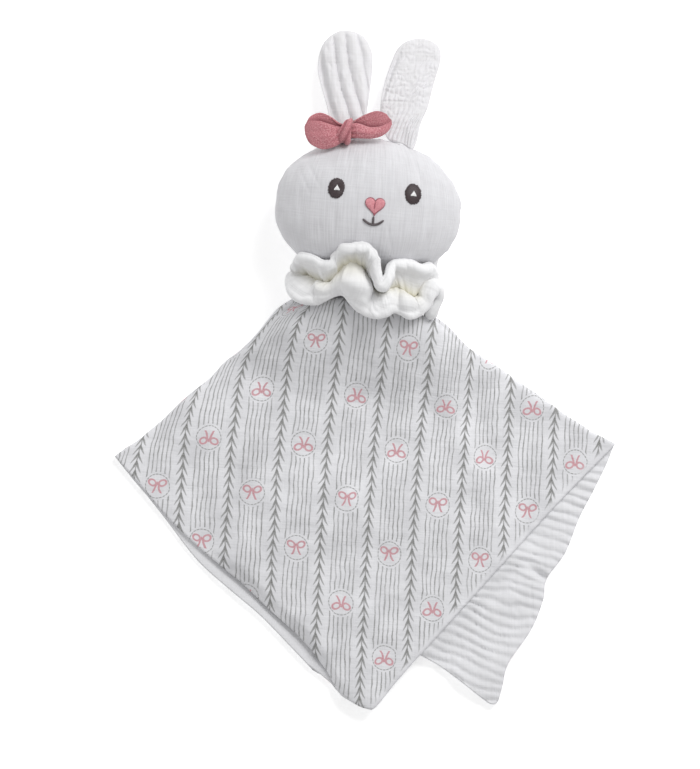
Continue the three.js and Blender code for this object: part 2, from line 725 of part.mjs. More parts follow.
// Collar: a tube carried round the neck, pleated by a cosine and flared over the chin
function buildCollar() {
  const loops = [];
  for (let i = 0; i < COLLAR_STEPS; i += 1) {
    const around = (2 * Math.PI * i) / COLLAR_STEPS;
    const front = (1 + Math.sin(around)) / 2;
    const pleat = 1 + COLLAR_PLEAT_DEPTH * Math.cos(COLLAR_PLEATS * around);
    const spread = lerp(COLLAR_BACK_SPREAD, COLLAR_FRONT_SPREAD, front) * pleat;
    const puff = lerp(COLLAR_BACK_PUFF, COLLAR_FRONT_PUFF, front);
    const reach = lerp(COLLAR_BACK_REACH, COLLAR_FRONT_REACH, front);
    const flare = radians(COLLAR_FLARE_DEG) * Math.max(Math.sin(around), 0);
    const middle = new THREE.Vector3(
      HEAD_CENTRE_X + COLLAR_HALF_WIDTH * Math.cos(around),
      COLLAR_MIDDLE_Y + COLLAR_MEANDER * Math.sin(COLLAR_WAVES * around) * front,
      COLLAR_MIDDLE_Z + reach * Math.sin(around),
    );
    const out = new THREE.Vector3(Math.cos(around), 0, Math.sin(around));
    const axis = new THREE.Vector3(0, 1, 0);
    const wide = axis.clone().multiplyScalar(Math.cos(flare)).addScaledVector(out, Math.sin(flare));
    const thick = out.clone().multiplyScalar(Math.cos(flare)).addScaledVector(axis, -Math.sin(flare));
    const loop = [];
    for (let j = 0; j < 10; j += 1) {
      const angle = (2 * Math.PI * j) / 10;
      const point = middle.clone();
      point.addScaledVector(wide, spread * Math.sin(angle));
      point.addScaledVector(thick, puff * Math.cos(angle));
      loop.push(point.toArray());
    }
    loops.push(loop);
  }
  const head = headEnvelope().applyMatrix4(headGroup.matrix);
  const ruffle = cutBy(bodyThroughLoops(loops), [head, neckRoll(CLEARANCE), clothEnvelope()]);
  addPiece(toy, 'collar_ruffle', ruffle, MUSLIN_WARM);
}

buildHead();
buildFace();
buildEar('left', LEFT_EAR_FOOT_X, LEFT_EAR_FOOT_TURN_DEG, LEFT_EAR_OUTLINE);
buildEar('right', RIGHT_EAR_FOOT_X, RIGHT_EAR_FOOT_TURN_DEG, RIGHT_EAR_OUTLINE);
buildBow();
buildNeck();
buildCloth();
buildCollar();

// The origin is the middle of the toy's footprint, on the table
const space = new THREE.Box3().setFromObject(toy);
const middle = space.getCenter(new THREE.Vector3());
toy.position.set(-middle.x, -middle.y, -space.min.z);

export default toy;
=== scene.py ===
"""Bunny comforter: the looks of a stuffed muslin head with two ears, a linen bow, an embroidered
face, a gathered collar and a folded two-layer cloth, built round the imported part. Millimetres."""

import math
from typing import NamedTuple

import bpy
import numpy as np
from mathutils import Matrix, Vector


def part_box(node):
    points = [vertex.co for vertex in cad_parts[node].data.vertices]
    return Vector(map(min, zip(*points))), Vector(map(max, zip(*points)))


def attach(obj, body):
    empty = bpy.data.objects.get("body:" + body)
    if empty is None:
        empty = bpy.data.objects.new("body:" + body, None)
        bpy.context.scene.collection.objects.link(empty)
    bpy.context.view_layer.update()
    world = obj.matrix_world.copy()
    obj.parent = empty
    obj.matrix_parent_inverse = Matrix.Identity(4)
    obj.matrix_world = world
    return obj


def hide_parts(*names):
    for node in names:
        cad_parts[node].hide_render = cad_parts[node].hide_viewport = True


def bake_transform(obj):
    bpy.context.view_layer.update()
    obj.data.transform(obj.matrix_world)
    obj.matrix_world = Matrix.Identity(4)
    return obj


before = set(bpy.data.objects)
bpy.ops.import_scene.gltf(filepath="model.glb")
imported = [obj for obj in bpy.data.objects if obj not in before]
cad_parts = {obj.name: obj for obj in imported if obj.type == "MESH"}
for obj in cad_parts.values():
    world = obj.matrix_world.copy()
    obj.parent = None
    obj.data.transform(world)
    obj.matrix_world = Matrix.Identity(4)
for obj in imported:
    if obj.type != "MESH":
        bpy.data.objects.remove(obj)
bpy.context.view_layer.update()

# Part values, as in the part's source
HEAD_WIDTH = 94.8
HEAD_HEIGHT = 68.8
HEAD_FRONT_DEPTH = 25.0
HEAD_BACK_DEPTH = 25.5
HEAD_CENTRE = (1.5, 84.0)
HEAD_TILT = math.radians(-4.5)
CROWN_ROUNDNESS = 2.0
CHEEK_ROUNDNESS = 2.45
SEAM_Z = 25.0
FACE_MIDDLE_X = 2.9
EYE_SPACING = 39.3
EYE_RISE = 7.6
EYE_SIZE = (8.2, 10.2)
NOSE_SIZE = (9.8, 8.9)
NOSE_DROP = 0.4
SMILE_WIDTH = 10.8
SMILE_DEPTH = 2.7
SMILE_DROP = 9.6
STEM_LENGTH = 4.2
NECK_MIDDLE = (1.5, 41.25, 20.0)
NECK_RADIUS = 8.0
NECK_HALF_LENGTH = 21.0
EAR_HALF_DEPTH = 3.4
EAR_DROOP_SLOPE = 1.3
EAR_TIP_SINK = 2.2
LEFT_EAR_FOOT_X = -9.0
LEFT_EAR_FOOT_TURN = math.radians(5)
LEFT_EAR_OUTLINE = [
    (-8, 0.2), (-9.9, 13.5), (-13.6, 27), (-15.2, 37), (-12.5, 48.5), (-5.5, 54.6), (1.5, 55.2),
    (8.5, 52), (12.6, 44), (12.6, 33), (10.2, 15), (8, 0.8), (0, -0.4),
]
RIGHT_EAR_FOOT_X = 18.9
RIGHT_EAR_FOOT_TURN = math.radians(-21.9)
RIGHT_EAR_OUTLINE = [
    (-7.4, 2.3), (-11, 15.5), (-9.4, 29), (-5.2, 42), (-1.5, 49.5), (4.5, 53.2), (12, 53.6),
    (18.6, 50), (19.9, 43), (16.6, 31), (12, 13), (7.6, -3), (0.2, -0.5),
]

# The photograph's frame: millimetres a pixel, and the pixels of the toy's origin and the middle
PIXEL = 0.511
PIXEL_ORIGIN = (365.0, 370.0)
PIXEL_MIDDLE = (350.0, 384.5)

# Where the part's own axes lie in the row frame: its recentring, read from the neck
neck_low, neck_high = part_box("neck_core")
TOY_SHIFT = np.array((neck_low + neck_high) * 500) - np.array(NECK_MIDDLE)

MM = 0.001
UP = np.array((0.0, 0.0, 1.0))
NOISE_LATTICE = 97
CURVE_STEPS = 24


def seen(*pixels):
    """Places of the photograph's pixels in the toy's own axes; a third value stays as height."""
    spots = np.array(pixels, float)
    spots[..., 0] = (spots[..., 0] - PIXEL_ORIGIN[0]) * PIXEL
    spots[..., 1] = (PIXEL_ORIGIN[1] - spots[..., 1]) * PIXEL
    return spots


def smooth(value, low, high):
    """Cubic step from 0 at low to 1 at high."""
    share = np.clip((value - low) / (high - low), 0, 1)
    return share * share * (3 - 2 * share)


def fade(value, low, high):
    """Cubic step from 1 at low to 0 at high."""
    return 1 - smooth(value, low, high)


def bell(value, width):
    """A Gaussian bell: 1 at 0, and 1/e a width away."""
    return np.exp(-((value / width) ** 2))


def signed_power(value, power):
    """A power of the value's size, with the value's own sign: below 1 it squares off a wave."""
    return np.sign(value) * np.abs(value) ** power


def lying(z, floor, start):
    """Heights as they are above start; below it they sink towards the floor ever more slowly."""
    room = start - floor
    return np.where(z < start, floor + room * np.exp((z - start) / room), z)


def soft_noise(x, y, size, seed):
    """Random field between -1 and 1: values on a square lattice, blended by a cubic step."""
    lattice = np.random.default_rng(seed).uniform(-1, 1, (NOISE_LATTICE, NOISE_LATTICE))
    u, v = np.asarray(x) / size, np.asarray(y) / size
    i, j = np.floor(u).astype(int), np.floor(v).astype(int)
    a, b = smooth(u - i, 0, 1), smooth(v - j, 0, 1)
    i, i2 = i % NOISE_LATTICE, (i + 1) % NOISE_LATTICE
    j, j2 = j % NOISE_LATTICE, (j + 1) % NOISE_LATTICE
    low = lattice[i, j] * (1 - a) + lattice[i2, j] * a
    high = lattice[i, j2] * (1 - a) + lattice[i2, j2] * a
    return low * (1 - b) + high * b


def pillows(x, y, size, seed):
    """Bumps from 0 to 1 with narrow creases between them: a noise field without its sign."""
    return np.sqrt(soft_noise(x, y, size, seed) ** 2 + 0.002)


def against_line(spot, start, end):
    """Points in plan against a line: their distances along it and to the right of it, as seen
    when looking from its start to its end, with the line's length and direction."""
    start, end = np.array(start, float), np.array(end, float)
    length = np.linalg.norm(end - start)
    way = (end - start) / length
    out = spot - start
    aside = out[..., 0] * way[1] - out[..., 1] * way[0]
    return (out * way).sum(axis=-1), aside, length, way


def crease(x, y, start, end, width):
    """A soft groove from 0 to 1 along a straight line between two places, fading at its ends."""
    along, aside, length, _ = against_line(np.stack([x, y], axis=-1), start, end)
    return bell(aside, width) * smooth(along / length, -0.15, 0.25) * fade(along / length, 0.75, 1.15)


def through(points, count, closed=True):
    """Points along a Catmull-Rom curve through the given ones, evenly spaced by its length."""
    points = np.array(points, float)
    size = len(points)
    spans = size if closed else size - 1
    at = np.linspace(0, spans, spans * CURVE_STEPS + 1)
    i = np.minimum(np.floor(at).astype(int), spans - 1)
    t = (at - i)[:, None]
    if closed:
        p0, p1, p2, p3 = (points[(i + k) % size] for k in (-1, 0, 1, 2))
    else:
        p0, p1, p2, p3 = (points[np.clip(i + k, 0, size - 1)] for k in (-1, 0, 1, 2))
    line = 0.5 * (2 * p1 + (p2 - p0) * t + (2 * p0 - 5 * p1 + 4 * p2 - p3) * t**2
                  + (3 * p1 - p0 - 3 * p2 + p3) * t**3)
    reach = np.concatenate([[0], np.cumsum(np.linalg.norm(np.diff(line, axis=0), axis=1))])
    stops = np.linspace(0, reach[-1], count, endpoint=not closed)
    return np.stack([np.interp(stops, reach, line[:, k]) for k in range(line.shape[1])], axis=1)


def unit(vectors):
    """The vectors scaled to length one."""
    return vectors / (np.linalg.norm(vectors, axis=-1, keepdims=True) + 1e-12)


def grid_normals(points):
    """Unit normals of a grid whose columns wrap round, from central differences both ways."""
    down = np.gradient(points, axis=0)
    across = np.roll(points, -1, 1) - np.roll(points, 1, 1)
    return unit(np.cross(down, across))


def round_turn(count):
    """Angles of a full turn in equal steps, without its end."""
    return np.linspace(0, math.tau, count, endpoint=False)


def head_to_toy(points):
    """Points of the head's own axes turned by its tilt and moved to its centre."""
    points = np.array(points, float)
    c, s = math.cos(HEAD_TILT), math.sin(HEAD_TILT)
    x, y = points[..., 0].copy(), points[..., 1].copy()
    points[..., 0] = HEAD_CENTRE[0] + x * c - y * s
    points[..., 1] = HEAD_CENTRE[1] + x * s + y * c
    return points


# Meshes
def new_mesh(name, points, faces, uv=None, marks=None):
    """A smooth mesh from points in the toy's axes; uv and marks are given for each point."""
    mesh = bpy.data.meshes.new(name)
    places = (np.asarray(points, float).reshape(-1, 3) + TOY_SHIFT) * MM
    mesh.from_pydata(places.tolist(), [], [f.tolist() for part in faces for f in part])
    mesh.shade_smooth()
    if uv is not None:
        layer = mesh.uv_layers.new(name="flat_mm")
        corners = np.zeros(len(mesh.loops), int)
        mesh.loops.foreach_get("vertex_index", corners)
        layer.data.foreach_set("uv", np.asarray(uv, float).reshape(-1, 2)[corners].ravel())
    for mark, values in (marks or {}).items():
        layer = mesh.attributes.new(mark, "FLOAT", "POINT")
        layer.data.foreach_set("value", np.asarray(values, np.float32).ravel())
    mesh.validate()
    mesh.update()
    piece = bpy.data.objects.new(name, mesh)
    bpy.context.scene.collection.objects.link(piece)
    return piece


def grid_faces(rows, columns, wrap_rows, wrap_columns):
    """Quads of a grid; a wrapped way joins its last line to its first."""
    i = np.arange(rows if wrap_rows else rows - 1)[:, None]
    j = np.arange(columns if wrap_columns else columns - 1)[None, :]
    i2, j2 = (i + 1) % rows, (j + 1) % columns
    quads = [i * columns + j, i * columns + j2, i2 * columns + j2, i2 * columns + j]
    return np.stack(np.broadcast_arrays(*quads), axis=-1).reshape(-1, 4)


def outward(points, faces):
    """The faces, turned over where the closed body's signed volume comes out negative."""
    places = np.asarray(points, float).reshape(-1, 3)
    volume = 0.0
    for part in faces:
        a = places[part[:, 0]]
        for k in range(1, part.shape[1] - 1):
            cross = np.cross(places[part[:, k]], places[part[:, k + 1]])
            volume += float((a * cross).sum())
    return [part[:, ::-1] for part in faces] if volume < 0 else faces


def closed_body(name, grid, uv=None, marks=None, wrap_rows=False):
    """A closed body from a grid whose columns wrap round. Its first and last rows close on a
    point each, unless the rows wrap too. Only a body whose rows wrap carries marks."""
    rows, columns = grid.shape[:2]
    points = grid.reshape(-1, 3)
    faces = [grid_faces(rows, columns, wrap_rows, True)]
    if not wrap_rows:
        ring = np.arange(columns)
        for k, row in enumerate((0, rows - 1)):
            a, b = row * columns + ring, row * columns + (ring + 1) % columns
            first, second = (b, a) if k == 0 else (a, b)
            faces.append(np.stack([first, second, np.full(columns, rows * columns + k)], axis=1))
        points = np.concatenate([points, grid[[0, -1]].mean(axis=1)])
        if uv is not None:
            uv = np.concatenate([uv.reshape(-1, 2), uv[[0, -1]].mean(axis=1)])
    return new_mesh(name, points, outward(points, faces), uv, marks)


def thread_tubes(name, paths, radius, sides=8):
    """Closed tubes, one along each path of an array (tubes, steps, 3). The radius may change
    along each tube and round it. The tubes' sides turn about their path, level with the face."""
    tubes, steps = paths.shape[:2]
    along = unit(np.gradient(paths, axis=1))
    across = unit(np.cross(along, UP))
    above = np.cross(across, along)
    angle = round_turn(sides)[:, None]
    radius = np.broadcast_to(radius, (tubes, steps, sides))[..., None]
    ring = across[:, :, None] * np.cos(angle) + above[:, :, None] * np.sin(angle)
    points = (paths[:, :, None] + ring * radius).reshape(-1, 3)
    quads = grid_faces(steps, sides, False, True)
    side = np.arange(sides)
    caps = np.stack([side[::-1], (steps - 1) * sides + side])
    shift = (np.arange(tubes) * steps * sides)[:, None, None]
    faces = [(quads + shift).reshape(-1, 4), (caps + shift).reshape(-1, sides)]
    return new_mesh(name, points, outward(points, faces))


def finish_piece(piece, material, body, replaced=()):
    """Gives a piece its material and its body, and hides the part's nodes that it stands for. A
    piece without a body is attached to none."""
    piece.data.materials.append(material)
    if body:
        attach(piece, body)
    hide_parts(*replaced)
    return piece


# Materials: the depth of each relief, in metres
WEAVE_DEPTH = 0.0003
TWIST_DEPTH = 0.0001
RUMPLE_DEPTH = 0.0015
# Twist marks of a thread, on each metre of the object: they are about 0.4 mm apart
TWIST_MARKS = 2600.0


def linear(code):
    """An sRGB hex colour as linear values."""
    value = np.array([int(code[i:i + 2], 16) for i in (1, 3, 5)]) / 255
    low, high = value / 12.92, ((value + 0.055) / 1.055) ** 2.4
    return (*np.where(value <= 0.04045, low, high), 1.0)


def feed(tree, socket, value):
    """Links a socket to another one, or to a node's first output in use, or gives it a value."""
    if isinstance(value, bpy.types.Node):
        value = next(o for o in value.outputs if o.enabled)
    if isinstance(value, bpy.types.NodeSocket):
        tree.links.new(value, socket)
    else:
        socket.default_value = value


def add(tree, kind, *inputs, named=None, **settings):
    """Adds one node. A second word in kind is its operation. Inputs are values, sockets or nodes,
    in the order of the node's sockets; named gives them by socket name or number."""
    words = kind.split()
    made = tree.nodes.new("ShaderNode" + words[0])
    if len(words) > 1:
        made.operation = words[1]
    for name, value in settings.items():
        setattr(made, name, value)
    for key, value in [*enumerate(inputs), *(named or {}).items()]:
        feed(tree, made.inputs[key], value)
    return made


def start_material(name, roughness, sheen=0.0, sheen_roughness=0.5, specular=0.3):
    """An empty material with its shader, whose even values sit on the shader's own sockets."""
    material = bpy.data.materials.new(name)
    material.use_nodes = True
    shader = material.node_tree.nodes["Principled BSDF"]
    shader.inputs["Roughness"].default_value = roughness
    shader.inputs["Sheen Weight"].default_value = sheen
    shader.inputs["Sheen Roughness"].default_value = sheen_roughness
    shader.inputs["Specular IOR Level"].default_value = specular
    return material, material.node_tree, shader


def cover(tree, shader, colour, height, strength, depth, **under):
    """Gives the shader its colour and the relief of a height pattern. A coarser relief may lie
    under it, as its Normal."""
    relief = {"Strength": strength, "Distance": depth, "Height": height, **under}
    feed(tree, shader.inputs["Base Color"], colour)
    feed(tree, shader.inputs["Normal"], add(tree, "Bump", named=relief))


def mottled(tree, place, scale, detail, span, result=(0.0, 1.0), roughness=0.5):
    """Cloudy noise: the span of its values that is given is spread over the result's range. On the
    flat map, which is in millimetres, a scale of 0.11 makes patches of about 9 mm."""
    noise = {"Vector": place, "Scale": scale, "Detail": detail, "Roughness": roughness}
    return add(tree, "MapRange", add(tree, "TexNoise", named=noise), *span, *result)


def with_painted_shade(tree, colour, code):
    """A colour that turns to another, a painted shade, where the piece's crease mark is strong."""
    depth = add(tree, "Attribute", attribute_name="crease").outputs["Fac"]
    return add(tree, "Mix", data_type="RGBA", named={0: depth, 6: colour, 7: linear(code)})


def weave_height(tree, place, pitch, slub, warp=0.5):
    """Plain weave, from 0 to 1: warp and weft threads as noise drawn out along each of them. The
    pitch is a thread's, in millimetres, and slub its thickness against its length. The warp share
    says how much more the upright threads show than the others."""
    threads = []
    for across, along in ((1 / pitch, slub / pitch), (slub / pitch, 1 / pitch)):
        stretched = add(tree, "Mapping", named={"Vector": place, "Scale": (across, along, 1.0)})
        threads.append(add(tree, "TexNoise", named={"Vector": stretched, "Scale": 1.0, "Detail": 2.0}))
    both = add(tree, "Mix", named={0: warp, 2: threads[1], 3: threads[0]})
    return add(tree, "MapRange", both, 0.35, 0.65, 0.0, 1.0)


def muslin(name, light, shade, pitch=0.9, bump=0.45, warp=0.5, painted_shade_code=None):
    """Cotton muslin: a matt open weave, with faint slubs, paler and darker patches of about 9 mm,
    and a soft sheen of loose fibres. Real threads lie about 0.5 mm apart, which is one pixel of
    the photograph, so they are drawn coarser, 0.8 or 0.9 mm apart, to show."""
    material, tree, shader = start_material(name, 0.92, sheen=0.12, sheen_roughness=0.6)
    flat = add(tree, "UVMap", uv_map="flat_mm")
    height = weave_height(tree, flat, pitch, 0.045, warp)
    patches = mottled(tree, flat, 0.11, 4.0, (0.35, 0.68), (0.0, 0.4), roughness=0.6)
    share = add(tree, "Math MULTIPLY_ADD", height, 0.6, patches)
    colour = add(tree, "Mix", data_type="RGBA", named={0: share, 6: linear(shade), 7: linear(light)})
    # Painted shade: where the piece's crease mark is strong, the colour turns to the shade colour
    if painted_shade_code:
        colour = with_painted_shade(tree, colour, painted_shade_code)
    cover(tree, shader, colour, height, bump, WEAVE_DEPTH)
    return material


# Double gauze of the head: cool white, an open weave whose threads show as a faint grid
HEAD_GAUZE = muslin("cotton_double_gauze_head", "#dddde0", "#cecdd0", pitch=0.8, warp=0.68)
# Crinkled double gauze of the ears: the same cloth, a little warmer and looser
EAR_GAUZE = muslin("cotton_double_gauze_ears", "#e4e3e6", "#d8d7d8", warp=0.6)
# Softer gauze of the collar, warm white, with creamy shade painted into the hollows of its gathers
COLLAR_GAUZE = muslin("cotton_gauze_collar", "#f3f3f4", "#e8e8e9", bump=0.55, painted_shade_code="#dbd7c3")
# Lining gauze: white and crinkled, seen at the turned-over corner
LINING_GAUZE = muslin("cotton_gauze_lining", "#e8e8eb", "#dedee0", bump=0.4)


def linen_material():
    """Linen, yarn-dyed and marled: light and dark pink threads of about 1 mm cross, with specks of
    0.5 mm. Shade is painted as a deeper pink where the ribbon's crease mark is strong."""
    material, tree, shader = start_material("linen_marled_pink", 0.85, sheen=0.25)
    flat = add(tree, "UVMap", uv_map="flat_mm")
    height = weave_height(tree, flat, 1.0, 0.2)
    pinks = add(tree, "ValToRGB", mottled(tree, flat, 1.9, 3.0, (0.36, 0.66), roughness=0.7))
    stops = pinks.color_ramp.elements
    stops.new(0.5)
    for stop, code in zip(stops, ("#a45b65", "#c27d84", "#d8a4a7")):
        stop.color = linear(code)
    # Painted shade: a deeper pink where the crease mark is strong
    cover(tree, shader, with_painted_shade(tree, pinks, "#7d3c46"), height, 0.7, WEAVE_DEPTH)
    return material


def thread_material(name, light, dark):
    """Embroidery thread, mercerised: smooth and slightly lustrous, with fine twist marks."""
    material, tree, shader = start_material(name, 0.45, sheen=0.1, specular=0.5)
    place = add(tree, "TexCoord").outputs["Object"]
    grain = add(tree, "TexNoise", named={"Vector": place, "Scale": TWIST_MARKS, "Detail": 2.0})
    tone = add(tree, "MapRange", grain, 0.3, 0.7, 0.0, 1.0)
    colour = add(tree, "Mix", data_type="RGBA", named={0: tone, 6: linear(dark), 7: linear(light)})
    cover(tree, shader, colour, grain, 0.3, TWIST_DEPTH)
    return material


PINK_LINEN = linen_material()
EYE_THREAD = thread_material("cotton_thread_dark_brown", "#4a3c3f", "#2c2224")
WHITE_THREAD = thread_material("cotton_thread_white", "#f6f6f6", "#e2e2e2")
NOSE_THREAD = thread_material("cotton_thread_pink", "#e8a8ae", "#c4727d")
NOSE_RIM_THREAD = thread_material("cotton_thread_deep_pink", "#ac6a73", "#8a4a55")
MOUTH_THREAD = thread_material("cotton_thread_grey_brown", "#6b6265", "#453c3f")

# Print, in millimetres: grey sprig columns and bands of fine lines, with pink bows in medallions
COLUMN_PITCH = 24.4
SPRIG_PITCH = 5.15
SPRIG_HALF_WIDTH = 3.2
SPRIG_FALL = 2.35
SPRIG_FLARE = 0.15
# Half the thickness of a sprig's arm, at the stem and at its tip
SPRIG_ARM_HALVES = (1.65, 0.3)
# A stroke gives the distances from its middle where its ink starts to fade and where it ends
STEM_STROKE = (0.2, 0.5)
LINE_PITCH = 2.35
LINE_STROKE = (0.12, 0.52)
# Streaks of the lines' ink on each millimetre across and along them: about 0.9 by 6 mm
LINE_STREAKS = (1.1, 0.16, 1.0)
BAND_HALF_WIDTH = 7.1
MEDALLION_PITCH = 53.4
MEDALLION_START = 22.3
MEDALLION_CLEAR = 7.4
RING_RADIUS = 6.2
RING_STROKE = (0.1, 0.4)
RING_DASHES = 22.0
RIBBON_LOOP_MIDDLE = (2.65, 1.75)
RIBBON_LOOP_SIZE = (1.85, 1.55)
RIBBON_LOOP_LEAN = 0.2
RIBBON_LOOP_RIM = (0.16, 0.42)
RIBBON_KNOT_RISE = 1.45
RIBBON_KNOT_STROKE = (0.7, 1.3)
RIBBON_TAIL_START = 1.2
RIBBON_TAIL_END = -3.6
RIBBON_TAIL_STROKE = (0.35, 0.68)
PRINT_SWAY = 2.6
# The cloth's crinkles on each millimetre across and along it: about 12 by 4 mm
PRINT_CRINKLES = (0.08, 0.24, 1.0)


def off_middle(tree, value, pitch):
    """Distance from the middle of the repeat that a value lies in, for repeats of one pitch."""
    share = add(tree, "Math FRACT", add(tree, "Math DIVIDE", value, pitch))
    away = add(tree, "Math ABSOLUTE", add(tree, "Math SUBTRACT", share, 0.5))
    return add(tree, "Math MULTIPLY", away, pitch)


def sprig_ink(tree, away, down):
    """Sprigs: arms that fall steeply from a stem and flare outwards, thick where they meet it."""
    slope = add(tree, "Math MULTIPLY_ADD", away, -SPRIG_FLARE, SPRIG_FALL)
    tip = add(tree, "Math SUBTRACT", down, add(tree, "Math MULTIPLY", away, slope))
    half = add(tree, "MapRange", away, 0.0, SPRIG_HALF_WIDTH, *SPRIG_ARM_HALVES)
    within = add(tree, "Math SUBTRACT", half, off_middle(tree, tip, SPRIG_PITCH))
    arms = add(tree, "MapRange", within, -0.3, 0.35, 0.0, 1.0)
    ends = add(tree, "MapRange", away, SPRIG_HALF_WIDTH - 0.5, SPRIG_HALF_WIDTH + 0.1, 1.0, 0.0)
    strength = add(tree, "MapRange", away, 0.3, 1.8, 1.0, 0.72)
    limbs = add(tree, "Math MULTIPLY", add(tree, "Math MULTIPLY", arms, ends), strength)
    return add(tree, "Math MAXIMUM", limbs, add(tree, "MapRange", away, *STEM_STROKE, 0.7, 0.0))


def band_ink(tree, flat, away):
    """Bands midway between the sprigs: six fine lines, their ink uneven along them."""
    middle = add(tree, "Math SUBTRACT", COLUMN_PITCH / 2, away)
    fine = add(tree, "MapRange", off_middle(tree, middle, LINE_PITCH), *LINE_STROKE, 1.0, 0.0)
    drawn_out = add(tree, "Mapping", named={"Vector": flat, "Scale": LINE_STREAKS})
    uneven = mottled(tree, drawn_out, 1.0, 3.0, (0.35, 0.62), (0.42, 0.92))
    band = add(tree, "Math LESS_THAN", middle, BAND_HALF_WIDTH)
    return add(tree, "Math MULTIPLY", add(tree, "Math MULTIPLY", fine, uneven), band)


def ring_ink(tree, right, below, reach):
    """A dashed ring round a medallion's middle, drawn by the distance and the angle from it."""
    angle = add(tree, "Math ARCTAN2", below, right)
    beat = add(tree, "Math SINE", add(tree, "Math MULTIPLY", angle, RING_DASHES))
    dash = add(tree, "MapRange", beat, -0.6, 0.2, 0.35, 0.8)
    offset = add(tree, "Math ABSOLUTE", add(tree, "Math SUBTRACT", reach, RING_RADIUS))
    return add(tree, "Math MULTIPLY", add(tree, "MapRange", offset, *RING_STROKE, 1.0, 0.0), dash)


def ribbon_ink(tree, right, up):
    """A ribbon bow in outline: two round loops, a knot, and two tails along a parabola."""
    aside = add(tree, "Math ABSOLUTE", right)
    loop_x = add(tree, "Math SUBTRACT", aside, RIBBON_LOOP_MIDDLE[0])
    raised = add(tree, "Math SUBTRACT", up, RIBBON_LOOP_MIDDLE[1])
    loop_y = add(tree, "Math SUBTRACT", raised, add(tree, "Math MULTIPLY", loop_x, RIBBON_LOOP_LEAN))
    shares = [add(tree, "Math POWER", add(tree, "Math DIVIDE", distance, size), 2.0)
              for distance, size in zip((loop_x, loop_y), RIBBON_LOOP_SIZE)]
    oval = add(tree, "Math SQRT", add(tree, "Math ADD", *shares))
    rim = add(tree, "Math ABSOLUTE", add(tree, "Math SUBTRACT", oval, 1.0))
    loops = add(tree, "MapRange", rim, *RIBBON_LOOP_RIM, 1.0, 0.0)
    over = add(tree, "Math ABSOLUTE", add(tree, "Math SUBTRACT", up, RIBBON_KNOT_RISE))
    knot = add(tree, "MapRange", add(tree, "Math ADD", aside, over), *RIBBON_KNOT_STROKE, 1.0, 0.0)
    dropped = add(tree, "Math SUBTRACT", RIBBON_TAIL_START, up)
    spread = add(tree, "Math MULTIPLY_ADD", add(tree, "Math POWER", dropped, 2.0), 0.07, 0.7)
    tail = add(tree, "Math ABSOLUTE", add(tree, "Math SUBTRACT", aside, spread))
    stroke = add(tree, "MapRange", tail, *RIBBON_TAIL_STROKE, 1.0, 0.0)
    started = add(tree, "Math GREATER_THAN", dropped, 0.0)
    unended = add(tree, "Math GREATER_THAN", up, RIBBON_TAIL_END)
    tails = add(tree, "Math MULTIPLY", stroke, add(tree, "Math MULTIPLY", started, unended))
    return add(tree, "Math MAXIMUM", add(tree, "Math MAXIMUM", loops, tails), knot)


